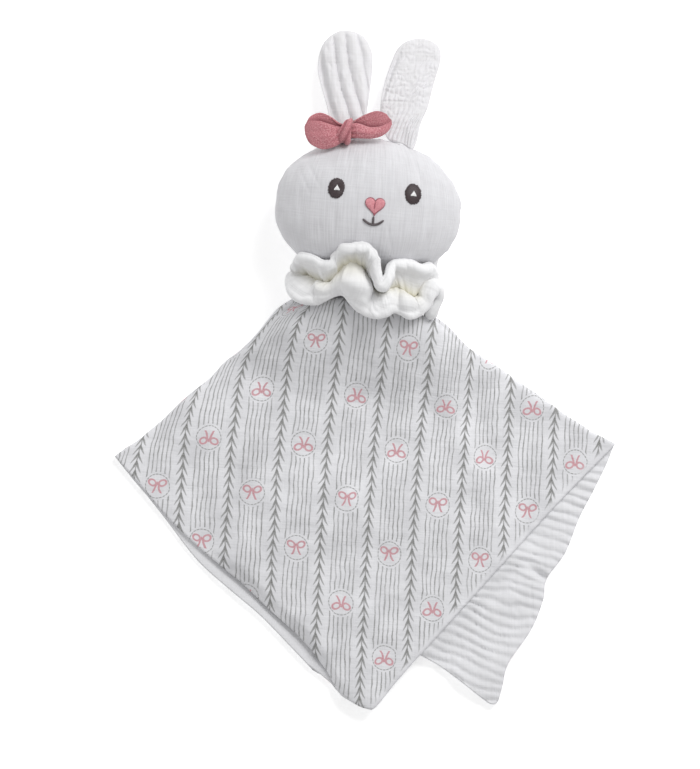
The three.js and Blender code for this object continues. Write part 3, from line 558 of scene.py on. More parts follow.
def printed_material():
    """Printed muslin: a cool white ground with patches of about 14 mm and a common sprig, stripe
    and ribbon-bow print, which sways a little over 11 mm. Its ink sits in the threads, so its
    lines are broken every 0.6 mm or so. The gauze is crinkled crosswise."""
    material, tree, shader = start_material("cotton_muslin_printed", 0.9, sheen=0.1)
    flat = add(tree, "UVMap", uv_map="flat_mm")
    parts = add(tree, "SeparateXYZ", flat)
    down = parts.outputs[1]
    shake = add(tree, "TexNoise", named={"Vector": flat, "Scale": 0.09, "Detail": 3.0})
    sway = add(tree, "Math MULTIPLY_ADD", shake, PRINT_SWAY, -PRINT_SWAY / 2)
    swayed = add(tree, "Math ADD", parts.outputs[0], sway)
    away = off_middle(tree, add(tree, "Math ADD", swayed, COLUMN_PITCH / 2), COLUMN_PITCH)
    # Medallions: every second one in neighbouring bands, by turns upright and upside down
    column = add(tree, "Math DIVIDE", swayed, COLUMN_PITCH)
    odd = add(tree, "Math FLOORED_MODULO", add(tree, "Math FLOOR", column), 2.0)
    fallen = add(tree, "Math DIVIDE", add(tree, "Math SUBTRACT", down, MEDALLION_START), MEDALLION_PITCH)
    row = add(tree, "Math SUBTRACT", fallen, add(tree, "Math MULTIPLY", odd, 0.5))
    number = add(tree, "Math ROUND", row)
    below = add(tree, "Math MULTIPLY", add(tree, "Math SUBTRACT", row, number), MEDALLION_PITCH)
    across = add(tree, "Math SUBTRACT", add(tree, "Math FRACT", column), 0.5)
    right = add(tree, "Math MULTIPLY", across, COLUMN_PITCH)
    squares = [add(tree, "Math POWER", distance, 2.0) for distance in (right, below)]
    reach = add(tree, "Math SQRT", add(tree, "Math ADD", *squares))
    turned = add(tree, "Math FLOORED_MODULO", add(tree, "Math ADD", number, odd), 2.0)
    up = add(tree, "Math MULTIPLY", below, add(tree, "Math MULTIPLY_ADD", turned, 2.0, -1.0))
    clear = add(tree, "Math GREATER_THAN", reach, MEDALLION_CLEAR)
    stripes = add(tree, "Math MULTIPLY", band_ink(tree, flat, away), clear)
    grey = add(tree, "Math MAXIMUM", sprig_ink(tree, away, down), stripes)
    grey = add(tree, "Math MAXIMUM", grey, ring_ink(tree, right, below, reach))
    pink = ribbon_ink(tree, right, up)
    # Ink: broken by the weave, and fading out at the hem
    broken = mottled(tree, flat, 1.6, 3.0, (0.3, 0.62), (0.62, 1.0), roughness=0.7)
    hem = add(tree, "Attribute", attribute_name="hem").outputs["Fac"]
    inking = add(tree, "Math MULTIPLY", broken, add(tree, "Math SUBTRACT", 1.0, hem))
    patches = mottled(tree, flat, 0.07, 4.0, (0.35, 0.65))
    ground = {0: patches, 6: linear("#d9d9dc"), 7: linear("#e9e9ec")}
    colour = add(tree, "Mix", data_type="RGBA", named=ground)
    for ink, code in ((grey, "#7a7a77"), (pink, "#cb9098")):
        inked = {0: add(tree, "Math MULTIPLY", ink, inking), 6: colour, 7: linear(code)}
        colour = add(tree, "Mix", data_type="RGBA", named=inked)
    stretched = add(tree, "Mapping", named={"Vector": flat, "Scale": PRINT_CRINKLES})
    crinkles = add(tree, "TexNoise", named={"Vector": stretched, "Scale": 1.0, "Detail": 3.0})
    rumpled = add(tree, "Bump", named={"Strength": 0.45, "Distance": RUMPLE_DEPTH, "Height": crinkles})
    cover(tree, shader, colour, weave_height(tree, flat, 0.95, 0.06), 0.35, WEAVE_DEPTH, Normal=rumpled)
    return material


PRINTED_MUSLIN = printed_material()

# Head: rows and columns of its surface
HEAD_ROWS = 190
HEAD_COLUMNS = 320
HEAD_POLE = 0.012
# Mean radii that turn the head's angles to millimetres along the seam and away from it
SEAM_RADIUS = 40.0
SIDE_RADIUS = 32.0
PUCKER_SIZE = 3.4
PUCKER_LENGTH = 7.0
# The seam's groove is as deep as half its width
SEAM_GROOVE = 0.9
HEAD_BACK_UV = 150.0
# Longer creases as straight lines between two pixels of the photograph
HEAD_CREASES = [((334, 196), (336, 242)), ((305, 168), (318, 190)), ((297, 174), (308, 197)),
                ((322, 228), (325, 252)), ((388, 220), (396, 252)), ((405, 204), (404, 236)),
                ((428, 222), (431, 250)), ((412, 160), (420, 180)), ((345, 152), (343, 172)),
                ((380, 176), (379, 196))]
CREASE_DEPTH = 0.24
CREASE_WIDTH = 0.95


def head_reach(angle):
    """Distance from the head's middle to its seam: a superellipse, rounder over the cheeks."""
    power = np.where(np.sin(angle) >= 0, CROWN_ROUNDNESS, CHEEK_ROUNDNESS)
    across = np.abs(np.cos(angle) / (HEAD_WIDTH / 2)) ** power
    along = np.abs(np.sin(angle) / (HEAD_HEIGHT / 2)) ** power
    return (across + along) ** (-1 / power)


def head_relief(x, y):
    """Soft dents of the double gauze over the stuffing, as a height over the smooth head, with
    fine upright creases and a few longer ones."""
    dents = 0.45 * soft_noise(x, y, 12, 3) + 0.14 * soft_noise(x, y * 0.6, 4.3, 4)
    wrinkled = smooth(soft_noise(x, y, 17, 5), -0.2, 0.6)
    dents = dents + 0.26 * wrinkled * soft_noise(x, y * 0.12, 2.2, 6)
    for line in HEAD_CREASES:
        start, end = seen(*line) - np.array(HEAD_CENTRE)
        dents = dents - CREASE_DEPTH * crease(x, y, start, end, CREASE_WIDTH)
    return dents


def face_height(x, y):
    """Height of the face over a point of the head's own axes: an ellipse over its seam."""
    share = np.hypot(x, y) / head_reach(np.arctan2(y, x))
    return SEAM_Z + HEAD_FRONT_DEPTH * np.sqrt(np.clip(1 - share**2, 0, 1)) + head_relief(x, y)


def build_head():
    """The stuffed head: half an ellipse in section on either side of the seam, flattened where
    it lies, drawn in along the seam, with short puckers that run out from it."""
    angle = round_turn(HEAD_COLUMNS)[None, :]
    slope = np.linspace(HEAD_POLE, math.pi - HEAD_POLE, HEAD_ROWS)[:, None]
    front = slope < math.pi / 2
    reach = head_reach(angle)
    from_seam = np.abs(slope - math.pi / 2) * SIDE_RADIUS
    puckers = soft_noise(angle * SEAM_RADIUS, from_seam * 0.25, PUCKER_SIZE, 11)
    puckers = puckers * np.exp(-from_seam / PUCKER_LENGTH)
    drawn_in = SEAM_GROOVE * bell(from_seam, SEAM_GROOVE)
    out = np.sin(slope) * (reach + 0.55 * puckers - drawn_in)
    x, y = out * np.cos(angle), out * np.sin(angle)
    depth = np.where(front, HEAD_FRONT_DEPTH, HEAD_BACK_DEPTH)
    z = lying(SEAM_Z + depth * np.cos(slope) + 0 * angle, 0.35, 2)
    grid = np.stack([x, y, z], axis=-1)
    side = np.sign(np.cos(slope))
    bend = grid_normals(grid)
    bend *= np.sign((bend * (grid - SEAM_Z * UP)).sum(axis=2))[..., None]
    dents = head_relief(x, y) + 0.35 * puckers * side
    grid = grid + bend * (dents * smooth(z, 0.5, 6))[..., None]
    flat_reach = np.where(front, slope, math.pi - slope) * reach * 0.78
    flat_y = flat_reach * np.sin(angle) + HEAD_BACK_UV * (side < 0)
    uv = np.stack([flat_reach * np.cos(angle), flat_y], axis=-1)
    return closed_body("head_muslin", head_to_toy(grid), uv)


head = finish_piece(build_head(), HEAD_GAUZE, "head",
                    ("head_face_panel", "head_back_panel", "head_stuffing"))

# Embroidered face
EYE_THREADS = 78
EYE_TURN = 0.12
EYE_SWELL = 0.8
HIGHLIGHT_THREADS = 7
HIGHLIGHT_HALF = 1.2
HIGHLIGHT_HEIGHT = 2.5
HIGHLIGHT_SHIFT = 0.3
ROPE_SIDES = 12
NOSE_ASIDE = 0.7
NOSE_COLUMNS = 11
NOSE_SWELL = 0.85
MOUTH_ASIDE = 0.4
# The square of the share of its arch at which a satin thread's ends stay over the cloth
THREAD_END = 0.02


def on_face(x, y, lift):
    """Points of the head's own axes laid on the face with a lift, in the toy's axes."""
    return head_to_toy(np.stack([x, y, face_height(x, y) + lift], axis=-1))


def satin_columns(name, middle, x, edges, arch, radius, base=0.05):
    """Satin stitch between two edges: parallel threads, one at each x from the lower edge to the
    upper, arched over the cloth."""
    low, high = edges[0][:, None], edges[1][:, None]
    t = np.linspace(-1, 1, 13)[None, :]
    y = (high + low) / 2 + t * (high - low) / 2
    lift = base + arch * np.sqrt(np.clip(1 + THREAD_END - t**2, 0, 1))
    return thread_tubes(name, on_face(middle[0] + x[:, None] + 0 * t, middle[1] + y, lift), radius)


def satin_eye(name, middle, turn, seed):
    """Satin stitch round an oval: threads run from near its middle to its edge, and their ends
    are uneven, so that the rim looks soft."""
    angle = round_turn(EYE_THREADS)[:, None]
    ragged = 1 + 0.06 * np.random.default_rng(seed).uniform(-1, 1, (EYE_THREADS, 1))
    share = np.linspace(0.1, 1, 12)[None, :]
    a = share * ragged * EYE_SIZE[0] / 2 * np.cos(angle)
    b = share * ragged * EYE_SIZE[1] / 2 * np.sin(angle)
    x = middle[0] + a * math.cos(turn) - b * math.sin(turn)
    y = middle[1] + a * math.sin(turn) + b * math.cos(turn)
    lift = 0.05 + EYE_SWELL * np.sqrt(1 + THREAD_END - share**2) + 0 * angle
    return thread_tubes(name, on_face(x, y, lift), (0.16 + 0.1 * share)[..., None])


def stitch_rope(name, x, y, radius, twist, lift=0.35):
    """Stem stitch: a thin rope along points of the face, whose two strands wind round it."""
    steps = len(x)
    turn = np.linspace(0, twist * math.tau, steps)[:, None]
    ends = np.sqrt(np.clip(1 - np.linspace(-1, 1, steps) ** 8, 0.05, 1))[:, None]
    shape = radius * ends * (1 + 0.2 * np.cos(2 * (round_turn(ROPE_SIDES) - turn)))
    return thread_tubes(name, on_face(x, y, lift)[None], shape[None], ROPE_SIDES)


def build_eyes():
    """Both eyes, each with a highlight: a small triangle of upright white threads."""
    for side, sign in (("left", -1), ("right", 1)):
        middle = (FACE_MIDDLE_X + sign * EYE_SPACING / 2, EYE_RISE)
        eye = satin_eye(f"{side}_eye_satin", middle, EYE_TURN * sign, 25 + sign)
        finish_piece(eye, EYE_THREAD, "head", (f"{side}_eye",))
        spot = (middle[0] + HIGHLIGHT_SHIFT, middle[1] + HIGHLIGHT_SHIFT)
        x = np.linspace(-HIGHLIGHT_HALF, HIGHLIGHT_HALF, HIGHLIGHT_THREADS)
        low = -HIGHLIGHT_HALF + 0 * x
        high = low + HIGHLIGHT_HEIGHT * (1 - np.abs(x) / 1.5)
        shine = satin_columns(f"{side}_eye_shine", spot, x, (low, high), 0.3, 0.24, 0.95)
        finish_piece(shine, WHITE_THREAD, "head", (f"{side}_eye_highlight",))


def build_nose():
    """A heart in satin stitch: its threads run down from the lobes to the lower edge, a rope of
    darker thread follows its edge, a heart curve, and a short stitch of that darker thread down its
    middle paints the shade of the groove between the lobes."""
    turn = np.linspace(0, math.tau, 161)
    edge_x = NOSE_SIZE[0] / 2 * np.sin(turn) ** 3
    rise = 13 * np.cos(turn) - 5 * np.cos(2 * turn) - 2 * np.cos(3 * turn) - np.cos(4 * turn)
    edge_y = NOSE_SIZE[1] / 2 * (rise + 2.5) / 14.5
    right_x, right_y = edge_x[:81], edge_y[:81]
    top = np.arange(81) < int(np.argmax(right_x))
    c = np.linspace(0.3, NOSE_SIZE[0] / 2 - 0.35, NOSE_COLUMNS)
    upper = np.interp(c, right_x[top], right_y[top])
    lower = np.interp(-c, -right_x[~top], right_y[~top])
    x = np.concatenate([-c[::-1], c])
    edges = np.concatenate([lower[::-1], lower]), np.concatenate([upper[::-1], upper])
    arch = NOSE_SWELL * (0.4 + 0.6 * smooth(np.abs(x), 0, 2.2))[:, None]
    middle = (FACE_MIDDLE_X + NOSE_ASIDE, -NOSE_DROP)
    satin = satin_columns("nose_satin", middle, x, edges, arch, 0.3)
    finish_piece(satin, NOSE_THREAD, "head", ("nose",))
    rim = stitch_rope("nose_rim", middle[0] + edge_x * 0.99, middle[1] + edge_y * 0.99, 0.36, 20, 0.3)
    finish_piece(rim, NOSE_RIM_THREAD, "head")
    # Painted shade: a real stitch down the middle, whose darker thread paints the groove's shade
    fall = np.linspace(2.4, -1.2, 20)
    line_x, line_y = middle[0] + 0.12 * (fall - 2), middle[1] + fall
    groove = stitch_rope("nose_groove_shade_stitch", line_x, line_y, 0.34, 3, 0.5)
    finish_piece(groove, NOSE_RIM_THREAD, "head")


def build_mouth():
    """The smile, a parabola, and the stem that joins it to the nose, both in stem stitch."""
    middle = FACE_MIDDLE_X + MOUTH_ASIDE
    across = np.linspace(-1, 1, 60)
    smile = stitch_rope("mouth_smile_rope", middle + across * SMILE_WIDTH / 2,
                        SMILE_DEPTH * across**2 - SMILE_DROP, 0.62, 8)
    finish_piece(smile, MOUTH_THREAD, "head", ("mouth_smile",))
    rise = np.linspace(0, STEM_LENGTH, 24)
    stem = stitch_rope("mouth_stem_rope", middle + 0 * rise, rise - SMILE_DROP, 0.55, 3)
    finish_piece(stem, MOUTH_THREAD, "head", ("mouth_stem",))


build_eyes()
build_nose()
build_mouth()

# Ears: rows and columns of their surface, and how far their feet lie over the head's seam
EAR_ROWS = 110
EAR_COLUMNS = 280
EAR_POLE = 0.02
EAR_FOOT_LIFT = 0.7
EAR_BACK_UV = 100.0
# Left ear: its lengthwise folds, and the flank beside the first
EAR_FOLD_PITCH = 6.7
EAR_FOLD_DEPTH = 3.0
EAR_FLANK_DEPTH = 3.4
# Right ear: where its foot lies, and how far it leans for each millimetre up
EAR_FOOT_Y = 113.0
EAR_LEAN = 0.4
# Its gathers, the length and width of a puff, and its long crease
EAR_GATHER_DEPTH = 1.7
EAR_PUFF_SIZE = (3.5, 3.1)
EAR_PUFF_HEIGHT = 1.1
EAR_CREASE_DEPTH = 1.8
# How far its foot is drawn in on the right
EAR_DRAWN_IN = 1.7


def seam_y(x):
    """Height of the head's crown seam over a place across, in the toy's axes."""
    angle = np.linspace(0.2, math.pi - 0.2, 400)
    reach = head_reach(angle)
    seam = head_to_toy(np.stack([reach * np.cos(angle), reach * np.sin(angle), 0 * angle], axis=-1))
    order = np.argsort(seam[:, 0])
    return float(np.interp(x, seam[order, 0], seam[order, 1]))


def left_ear_folds(x, y):
    """Lengthwise folds with flat ridges and narrow valleys, curving down to the foot, the first
    with a steep flank to the left, and small dents."""
    fall = y - 131
    valley = -8.4 - 0.29 * fall + 0.002 * fall**2
    phase = (x - valley) / EAR_FOLD_PITCH
    wander = 0.1 * soft_noise(x, y, 9, 31)
    cycle = np.maximum(phase + wander, -0.5) % 1
    ridge = np.sin(math.pi * cycle**1.2) ** 0.52
    strength = smooth(y, 118, 128) * (1 + 0.2 * soft_noise(x, y, 14, 32))
    strength = strength * (1 - 0.5 * smooth(phase, 1.6, 2.4))
    crinkles = 0.5 * pillows(x + 0.3 * y, y * 0.7, 3.1, 33)
    flank = smooth(-phase, 0.72, 1.25) * smooth(y, 122, 132) * fade(y, 156, 170)
    return EAR_FOLD_DEPTH * strength * (ridge - 0.65) + crinkles - EAR_FLANK_DEPTH * flank


def right_ear_folds(x, y):
    """Crinkled double gauze: rounded puffs in staggered rows along the ear, a long crease beside
    its left edge, and close gathers that run up from the foot."""
    along = y - EAR_FOOT_Y
    aside = x - EAR_LEAN * along
    wave = aside + 0.7 * soft_noise(x, y, 5, 41)
    gathers = (0.5 + 0.5 * np.sin(wave * 2.7)) * bell(along - 4, 12) * smooth(along, -4, 2)
    wander = 1.5 * soft_noise(x, y, 5, 58)
    shaken_along = along + wander + 1.4 * soft_noise(x, y, 3.4, 59)
    shaken_aside = aside + wander + 1.6 * soft_noise(x, y, 3.4, 42)
    row = np.abs(np.sin(shaken_along * math.pi / EAR_PUFF_SIZE[0]))
    column = np.abs(np.cos(shaken_aside * math.pi / EAR_PUFF_SIZE[1]))
    puffs = np.sqrt(row * column + 0.07) * (0.8 + 0.4 * soft_noise(x, y, 13, 45)) * smooth(along, 6, 16)
    beside_edge = bell(x - 9.9 - EAR_LEAN * (y - 143), 1.3)
    long_crease = beside_edge * smooth(y, 126, 138) * fade(y, 158, 166)
    fine = 0.3 * pillows(x, y, 1.9, 43) - 0.6
    return EAR_GATHER_DEPTH * gathers + EAR_PUFF_HEIGHT * puffs + fine - EAR_CREASE_DEPTH * long_crease


def build_ear(side, foot_x, foot_turn, outline, folds):
    """An ear: its outline is domed to both sides of a rim seam, and it droops from the head's
    seam to the table. Folds are heights over the dome, fading out at the rim."""
    foot = np.array((foot_x, seam_y(foot_x) + EAR_FOOT_LIFT))
    edge = through(outline, EAR_COLUMNS)
    middle = edge.mean(axis=0)
    slope = np.linspace(EAR_POLE, math.pi - EAR_POLE, EAR_ROWS)[:, None]
    spot = middle + (edge - middle)[None] * np.sin(slope)[..., None]
    x, y = spot[..., 0], spot[..., 1]
    length = edge[:, 1].max()
    share = np.maximum(-x * math.sin(foot_turn) + y * math.cos(foot_turn), 0) / length
    droop = EAR_DROOP_SLOPE * share - (EAR_DROOP_SLOPE - 1) * share**2
    drop = (SEAM_Z - EAR_HALF_DEPTH + EAR_TIP_SINK) * droop
    front = slope < math.pi / 2
    relief = folds(x + foot[0], y + foot[1]) * smooth(1 - np.sin(slope), 0, 0.12)
    thick = EAR_HALF_DEPTH * (0.55 + 0.45 * smooth(y, 0, 14))
    level = signed_power(np.cos(slope), 0.8) * thick + np.where(front, relief, -0.4 * relief)
    z = lying(SEAM_Z - drop + level, 0.25, 1.2)
    drawn_in = EAR_DRAWN_IN * smooth(x, 0, 8) * fade(y, 8, 20) if side == "right" else 0
    grid = np.stack([x + foot[0] - drawn_in, y + foot[1], z], axis=-1)
    uv = np.stack([x, y + EAR_BACK_UV * ~front], axis=-1)
    body = f"{side}_ear"
    nodes = (f"{body}_front_panel", f"{body}_back_panel", f"{body}_wadding")
    ear = finish_piece(closed_body(f"{side}_ear_gauze", grid, uv), EAR_GAUZE, body, nodes)


build_ear("left", LEFT_EAR_FOOT_X, LEFT_EAR_FOOT_TURN, LEFT_EAR_OUTLINE, left_ear_folds)
build_ear("right", RIGHT_EAR_FOOT_X, RIGHT_EAR_FOOT_TURN, RIGHT_EAR_OUTLINE, right_ear_folds)

# Bow: the place of its knot, and its two loops
BOW_KNOT = np.array((-9.7, 122.6, 36.0))
BOW_LOOPS = (
    # A loop's direction in degrees, its length and its bulge. Its rims follow: distances along the
    # loop, then its bottom edge there, and the top edges of its front and of its back.
    ("left", 183, 20.6, 5.6, (
        (0, 3.6, 8, 13, 17.9, 20, 20.6), (-3, -6.4, -8.4, -8.8, -6.4, -3.3, -1),
        (2.2, 1.6, 3.2, 5.2, 5.6, 4.2, 3), (2.6, 3.8, 7.6, 9.7, 8.0, 4.8, 3))),
    ("right", 9, 23.3, 5.4, (
        (0, 5, 8, 12, 17, 21, 23.3), (-3.4, -4.6, -5.2, -5.9, -5.6, -3.6, -1),
        (2.5, 2.6, 1.4, -0.7, -1.3, -0.4, 1), (3, 4.0, 5.2, 6.6, 7.3, 5.4, 2.5))),
)
LOOP_ROWS = 97
LOOP_COLUMNS = 41
BAND_THICKNESS = 1.1
# The knot's band: its way down and its way across in plan, and its radii in plan and upright
KNOT_WAY = np.array((-0.43, -0.9, 0.0))
KNOT_SIDE = np.array((0.9, -0.43, 0.0))
KNOT_REACH = 5.9
KNOT_HEIGHT = 6.0
KNOT_WALL = 0.75
KNOT_INSIDE = 3.7
KNOT_CREASE = 0.55


def bow_loop(name, way, length, bulge, rims):
    """A loop of ribbon: it runs out from the knot, turns back on itself and returns behind. The
    gap between the top edges of its front and its back opens the loop to the eye."""
    along_at, bottom, front_top, back_top = through(np.array(rims, float).T, 200, closed=False).T
    u = np.linspace(0, 1, LOOP_ROWS)[:, None]
    v = np.linspace(0, 1, LOOP_COLUMNS)[None, :]
    along = length * np.sin(math.pi * u) ** 0.85
    behind = smooth(u, 0.42, 0.62)
    front_edge, back_edge, low = (np.interp(along, along_at, rim) for rim in (front_top, back_top, bottom))
    top = front_edge * (1 - behind) + back_edge * behind
    low = low + 1.2 * behind * np.sin(math.pi * np.clip(along / length, 0, 1))
    beside_way = low + (top - low) * v
    near = np.exp(-along / 3.2)
    open_share = np.sqrt(np.clip(1 - (along / length) ** 2, 0, 1)) * (1 - near)
    crown = 1 - 0.55 * (2 * v - 1) ** 2
    depth = bulge * (np.cos(math.pi * u) + 0.35 * behind) * open_share * crown
    gathers = 0.6 * np.sin(v * 17 + 2 * u) * np.exp(-along / 5)
    dents = 0.7 * soft_noise(along, beside_way, 6.5, 91) * (1 - near)
    front_lean = 0.32 * np.maximum(beside_way, 0) - 0.12 * beside_way
    lean = front_lean * (1 - behind) - 0.3 * beside_way * behind
    out = np.array((math.cos(way), math.sin(way), 0.0))
    up = np.array((-out[1], out[0], 0.0)) * (1 if out[0] > 0 else -1)
    flat = BOW_KNOT + out * (along + 0 * v)[..., None] + up * beside_way[..., None]
    grid = flat + (depth + gathers + lean + dents)[..., None] * UP
    uv = np.stack([u * 2 * length + 0 * v, beside_way], axis=-1)
    # Painted shade: the back inside the loop, behind the front's top edge, and the gathers by the knot are
    # marked to be shaded
    hidden = smooth(front_edge - beside_way, -3.2, 0.2)
    painted_shade = 0.85 * behind * hidden * (1 - 0.6 * smooth(along, 0.55 * length, length))
    faces = [grid_faces(LOOP_ROWS, LOOP_COLUMNS, False, False)]
    piece = new_mesh(name, grid, faces, uv, {"crease": np.maximum(painted_shade, 0.5 * near)})
    wall = piece.modifiers.new("wall", "SOLIDIFY")
    wall.thickness = BAND_THICKNESS * MM
    wall.offset = 0.0
    return piece


def build_knot():
    """The knot: a band with creases, wound once round the gathers, slanting down to the left. Its
    inner side is drawn in towards the middle, so that it isn't hollow from the side. The hollows
    of its creases and its lower end are marked for painted shade."""
    turn = round_turn(96)[:, None]
    round_it = round_turn(36)[None, :]
    half_width = 3.1 + 1.4 * np.sin(turn)
    width = half_width * signed_power(np.cos(round_it), 0.8)
    creases = np.cos(width * 1.7 + 0.9 * np.sin(2 * turn)) * (1 - (width / 5.0) ** 2)
    inner_side = np.maximum(-np.sin(round_it), 0)
    wall = KNOT_WALL * np.sin(round_it) - KNOT_INSIDE * inner_side
    wall = wall + KNOT_CREASE * creases * (1 - inner_side)
    along = (KNOT_REACH + wall) * np.sin(turn) + 0.3
    across = width + 0.5 * np.sin(turn * 2)
    tall = KNOT_HEIGHT + wall - 0.8 * np.maximum(-np.sin(turn), 0)
    high = tall * signed_power(np.cos(turn), 0.6)
    grid = BOW_KNOT + KNOT_WAY * along[..., None] + KNOT_SIDE * across[..., None] + UP * high[..., None]
    uv = np.stack([turn * 6 + 0 * round_it, width], axis=-1)
    # Painted shade: marked in the hollows between the creases and at the band's lower end
    painted_shade = 0.6 * smooth(-creases, 0.1, 0.9) + 0.35 * smooth(np.sin(turn), 0.75, 1)
    return closed_body("bow_knot_band", grid, uv, {"crease": np.clip(painted_shade, 0, 1)}, wrap_rows=True)


def build_bow():
    """Both loops and the knot over their gathered ends."""
    for side, way, length, bulge, rims in BOW_LOOPS:
        loop = bow_loop(f"bow_{side}_ribbon", math.radians(way), length, bulge, rims)
        finish_piece(loop, PINK_LINEN, "head", (f"bow_{side}_loop",))
    finish_piece(build_knot(), PINK_LINEN, "head", ("bow_knot",))


build_bow()

# Neck: its tying thread's windings, place, radius and rise over the roll
THREAD_WINDS = 3
THREAD_Y = 47.85
THREAD_RADIUS = 0.35
THREAD_ABOVE_ROLL = 0.9
# The distance from the roll's middle at which its girth is taken for the thread
THREAD_OFF_MIDDLE = 6.1


def build_neck():
    """The gathered roll between cloth and head: a spindle lying across, drawn into lengthwise
    gathers, with its tying thread wound three times round it."""
    slope = np.linspace(0.05, math.pi - 0.05, 90)[:, None]
    turn = round_turn(160)[None, :]
    x = NECK_MIDDLE[0] - NECK_HALF_LENGTH * np.cos(slope)
    gathers = 0.5 * np.sin(x * 2.6 + 1.3 * np.sin(2 * turn)) * np.sin(slope)
    radius = NECK_RADIUS * np.sin(slope) ** 0.7 - 0.5 + gathers
    grid = np.stack([x + 0 * turn, NECK_MIDDLE[1] + radius * np.cos(turn),
                     NECK_MIDDLE[2] + radius * np.sin(turn)], axis=-1)
    uv = np.stack([x + 0 * turn, turn * NECK_RADIUS + 0 * x], axis=-1)
    roll = closed_body("neck_gathers", grid, uv)
    finish_piece(roll, HEAD_GAUZE, "neck", ("neck_core",))
    at = np.linspace(0, THREAD_WINDS * math.tau, 240)
    narrowing = math.cos(math.asin(THREAD_OFF_MIDDLE / NECK_RADIUS))
    half_x = (NECK_HALF_LENGTH + 1.0) * narrowing
    half_z = (NECK_RADIUS + THREAD_ABOVE_ROLL) * narrowing
    path = np.stack([NECK_MIDDLE[0] + half_x * np.cos(at),
                     THREAD_Y + 0.55 * (at / (THREAD_WINDS * math.pi) - 1),
                     NECK_MIDDLE[2] + half_z * np.sin(at)], axis=-1)
    thread = thread_tubes("neck_thread_winding", path[None], THREAD_RADIUS)
    finish_piece(thread, WHITE_THREAD, "neck", ("neck_thread",))


build_neck()

# Collar: its stations, from its left side over the front to its right side
COLLAR_FRONT = [
    # The middle of the top roll, the gathering line and the middle of the bottom roll, as
    # photograph pixels and a height, and how far the upper and the lower part puff out
    ((296, 266, 24), (306, 274, 20), (292, 278, 17), 1, 2),
    ((300, 259, 33), (313, 278, 25), (292, 289, 25), 0, 3),
    ((313, 261, 38), (320, 282, 28), (300, 298, 30), -1, 4),
    ((322, 265, 40), (326, 284, 29), (313, 299, 33), 1, 6),
    ((330, 265, 42), (332, 281, 35), (325, 297, 34), 1, 4),
    ((336, 257, 43), (338, 272, 38), (336, 291, 36), 1, 4),
    ((342, 250, 47), (346, 265, 41), (344, 290, 37), 0, 6),
    ((355, 249, 49), (354, 263, 41), (350, 298, 38), -1, 9),
    ((369, 250, 49), (363, 267, 38), (357, 305, 38), 0, 8),
    ((376, 259, 49), (368, 276, 33), (366, 311, 38), 1, 4),
    ((377, 272, 48), (373, 286, 33), (376, 314, 38), 1, 4),
    ((381, 284, 47), (381, 291, 33), (386, 312, 38), 1, 4),
    ((388, 277, 46), (389, 288, 33), (393, 308, 37), 1, 4),
    ((393, 266, 43), (397, 287, 34), (399, 309, 36), 0, 3),
    ((402, 264, 41), (404, 291, 34), (408, 314, 37), -0.6, 6),
    ((412, 265, 39), (411, 296, 33), (418, 311, 35), -0.8, 5),
    ((421, 269, 38), (416, 296, 32), (426, 303, 35), 0, 2),
    ((430, 268, 35), (421, 287, 29), (435, 289, 35), 2, 3),
    ((434, 274, 30), (425, 286, 27), (438, 296, 31), 2, 4),
    ((433, 279, 24), (426, 291, 24), (430, 313, 27), 2, 4),
]
COLLAR_BACK_STATIONS = 12
COLLAR_BACK_PUFFS = [2.0, 2.5]
ROLL_RADIUS = 3.1
PANEL_HALF = 1.2
SEAM_OVERLAP = 1.6
RUFFLE_COLUMNS = 520
RUFFLE_ROWS = 56
RUFFLE_BACK_UV = 60.0


def collar_guides():
    """The collar's three guiding lines and puffs, closed round the neck: the front from the
    stations, and the back in even waves round the neck, a little above the table."""
    rows = [[*seen(top)[0], *seen(line)[0], *seen(low)[0], up, down]
            for top, line, low, up, down in COLLAR_FRONT]
    middle = NECK_MIDDLE[0]
    for k in range(COLLAR_BACK_STATIONS):
        turn = math.pi * (k + 0.7) / (COLLAR_BACK_STATIONS + 0.4)
        c, s = math.cos(turn), math.sin(turn)
        wave = math.cos(k * math.pi)
        top = [middle + 34 * c, 55.5 + 1.5 * wave, 21 - (14.5 + 1.2 * wave) * s]
        line = [middle + 27 * c, 45, 21 - 9.5 * s]
        low = [middle + 33.5 * c, 32.5 - 2.0 * wave, 17 - (11 - 1.2 * wave) * s]
        rows.append(top + line + low + COLLAR_BACK_PUFFS)
    return np.array(rows)


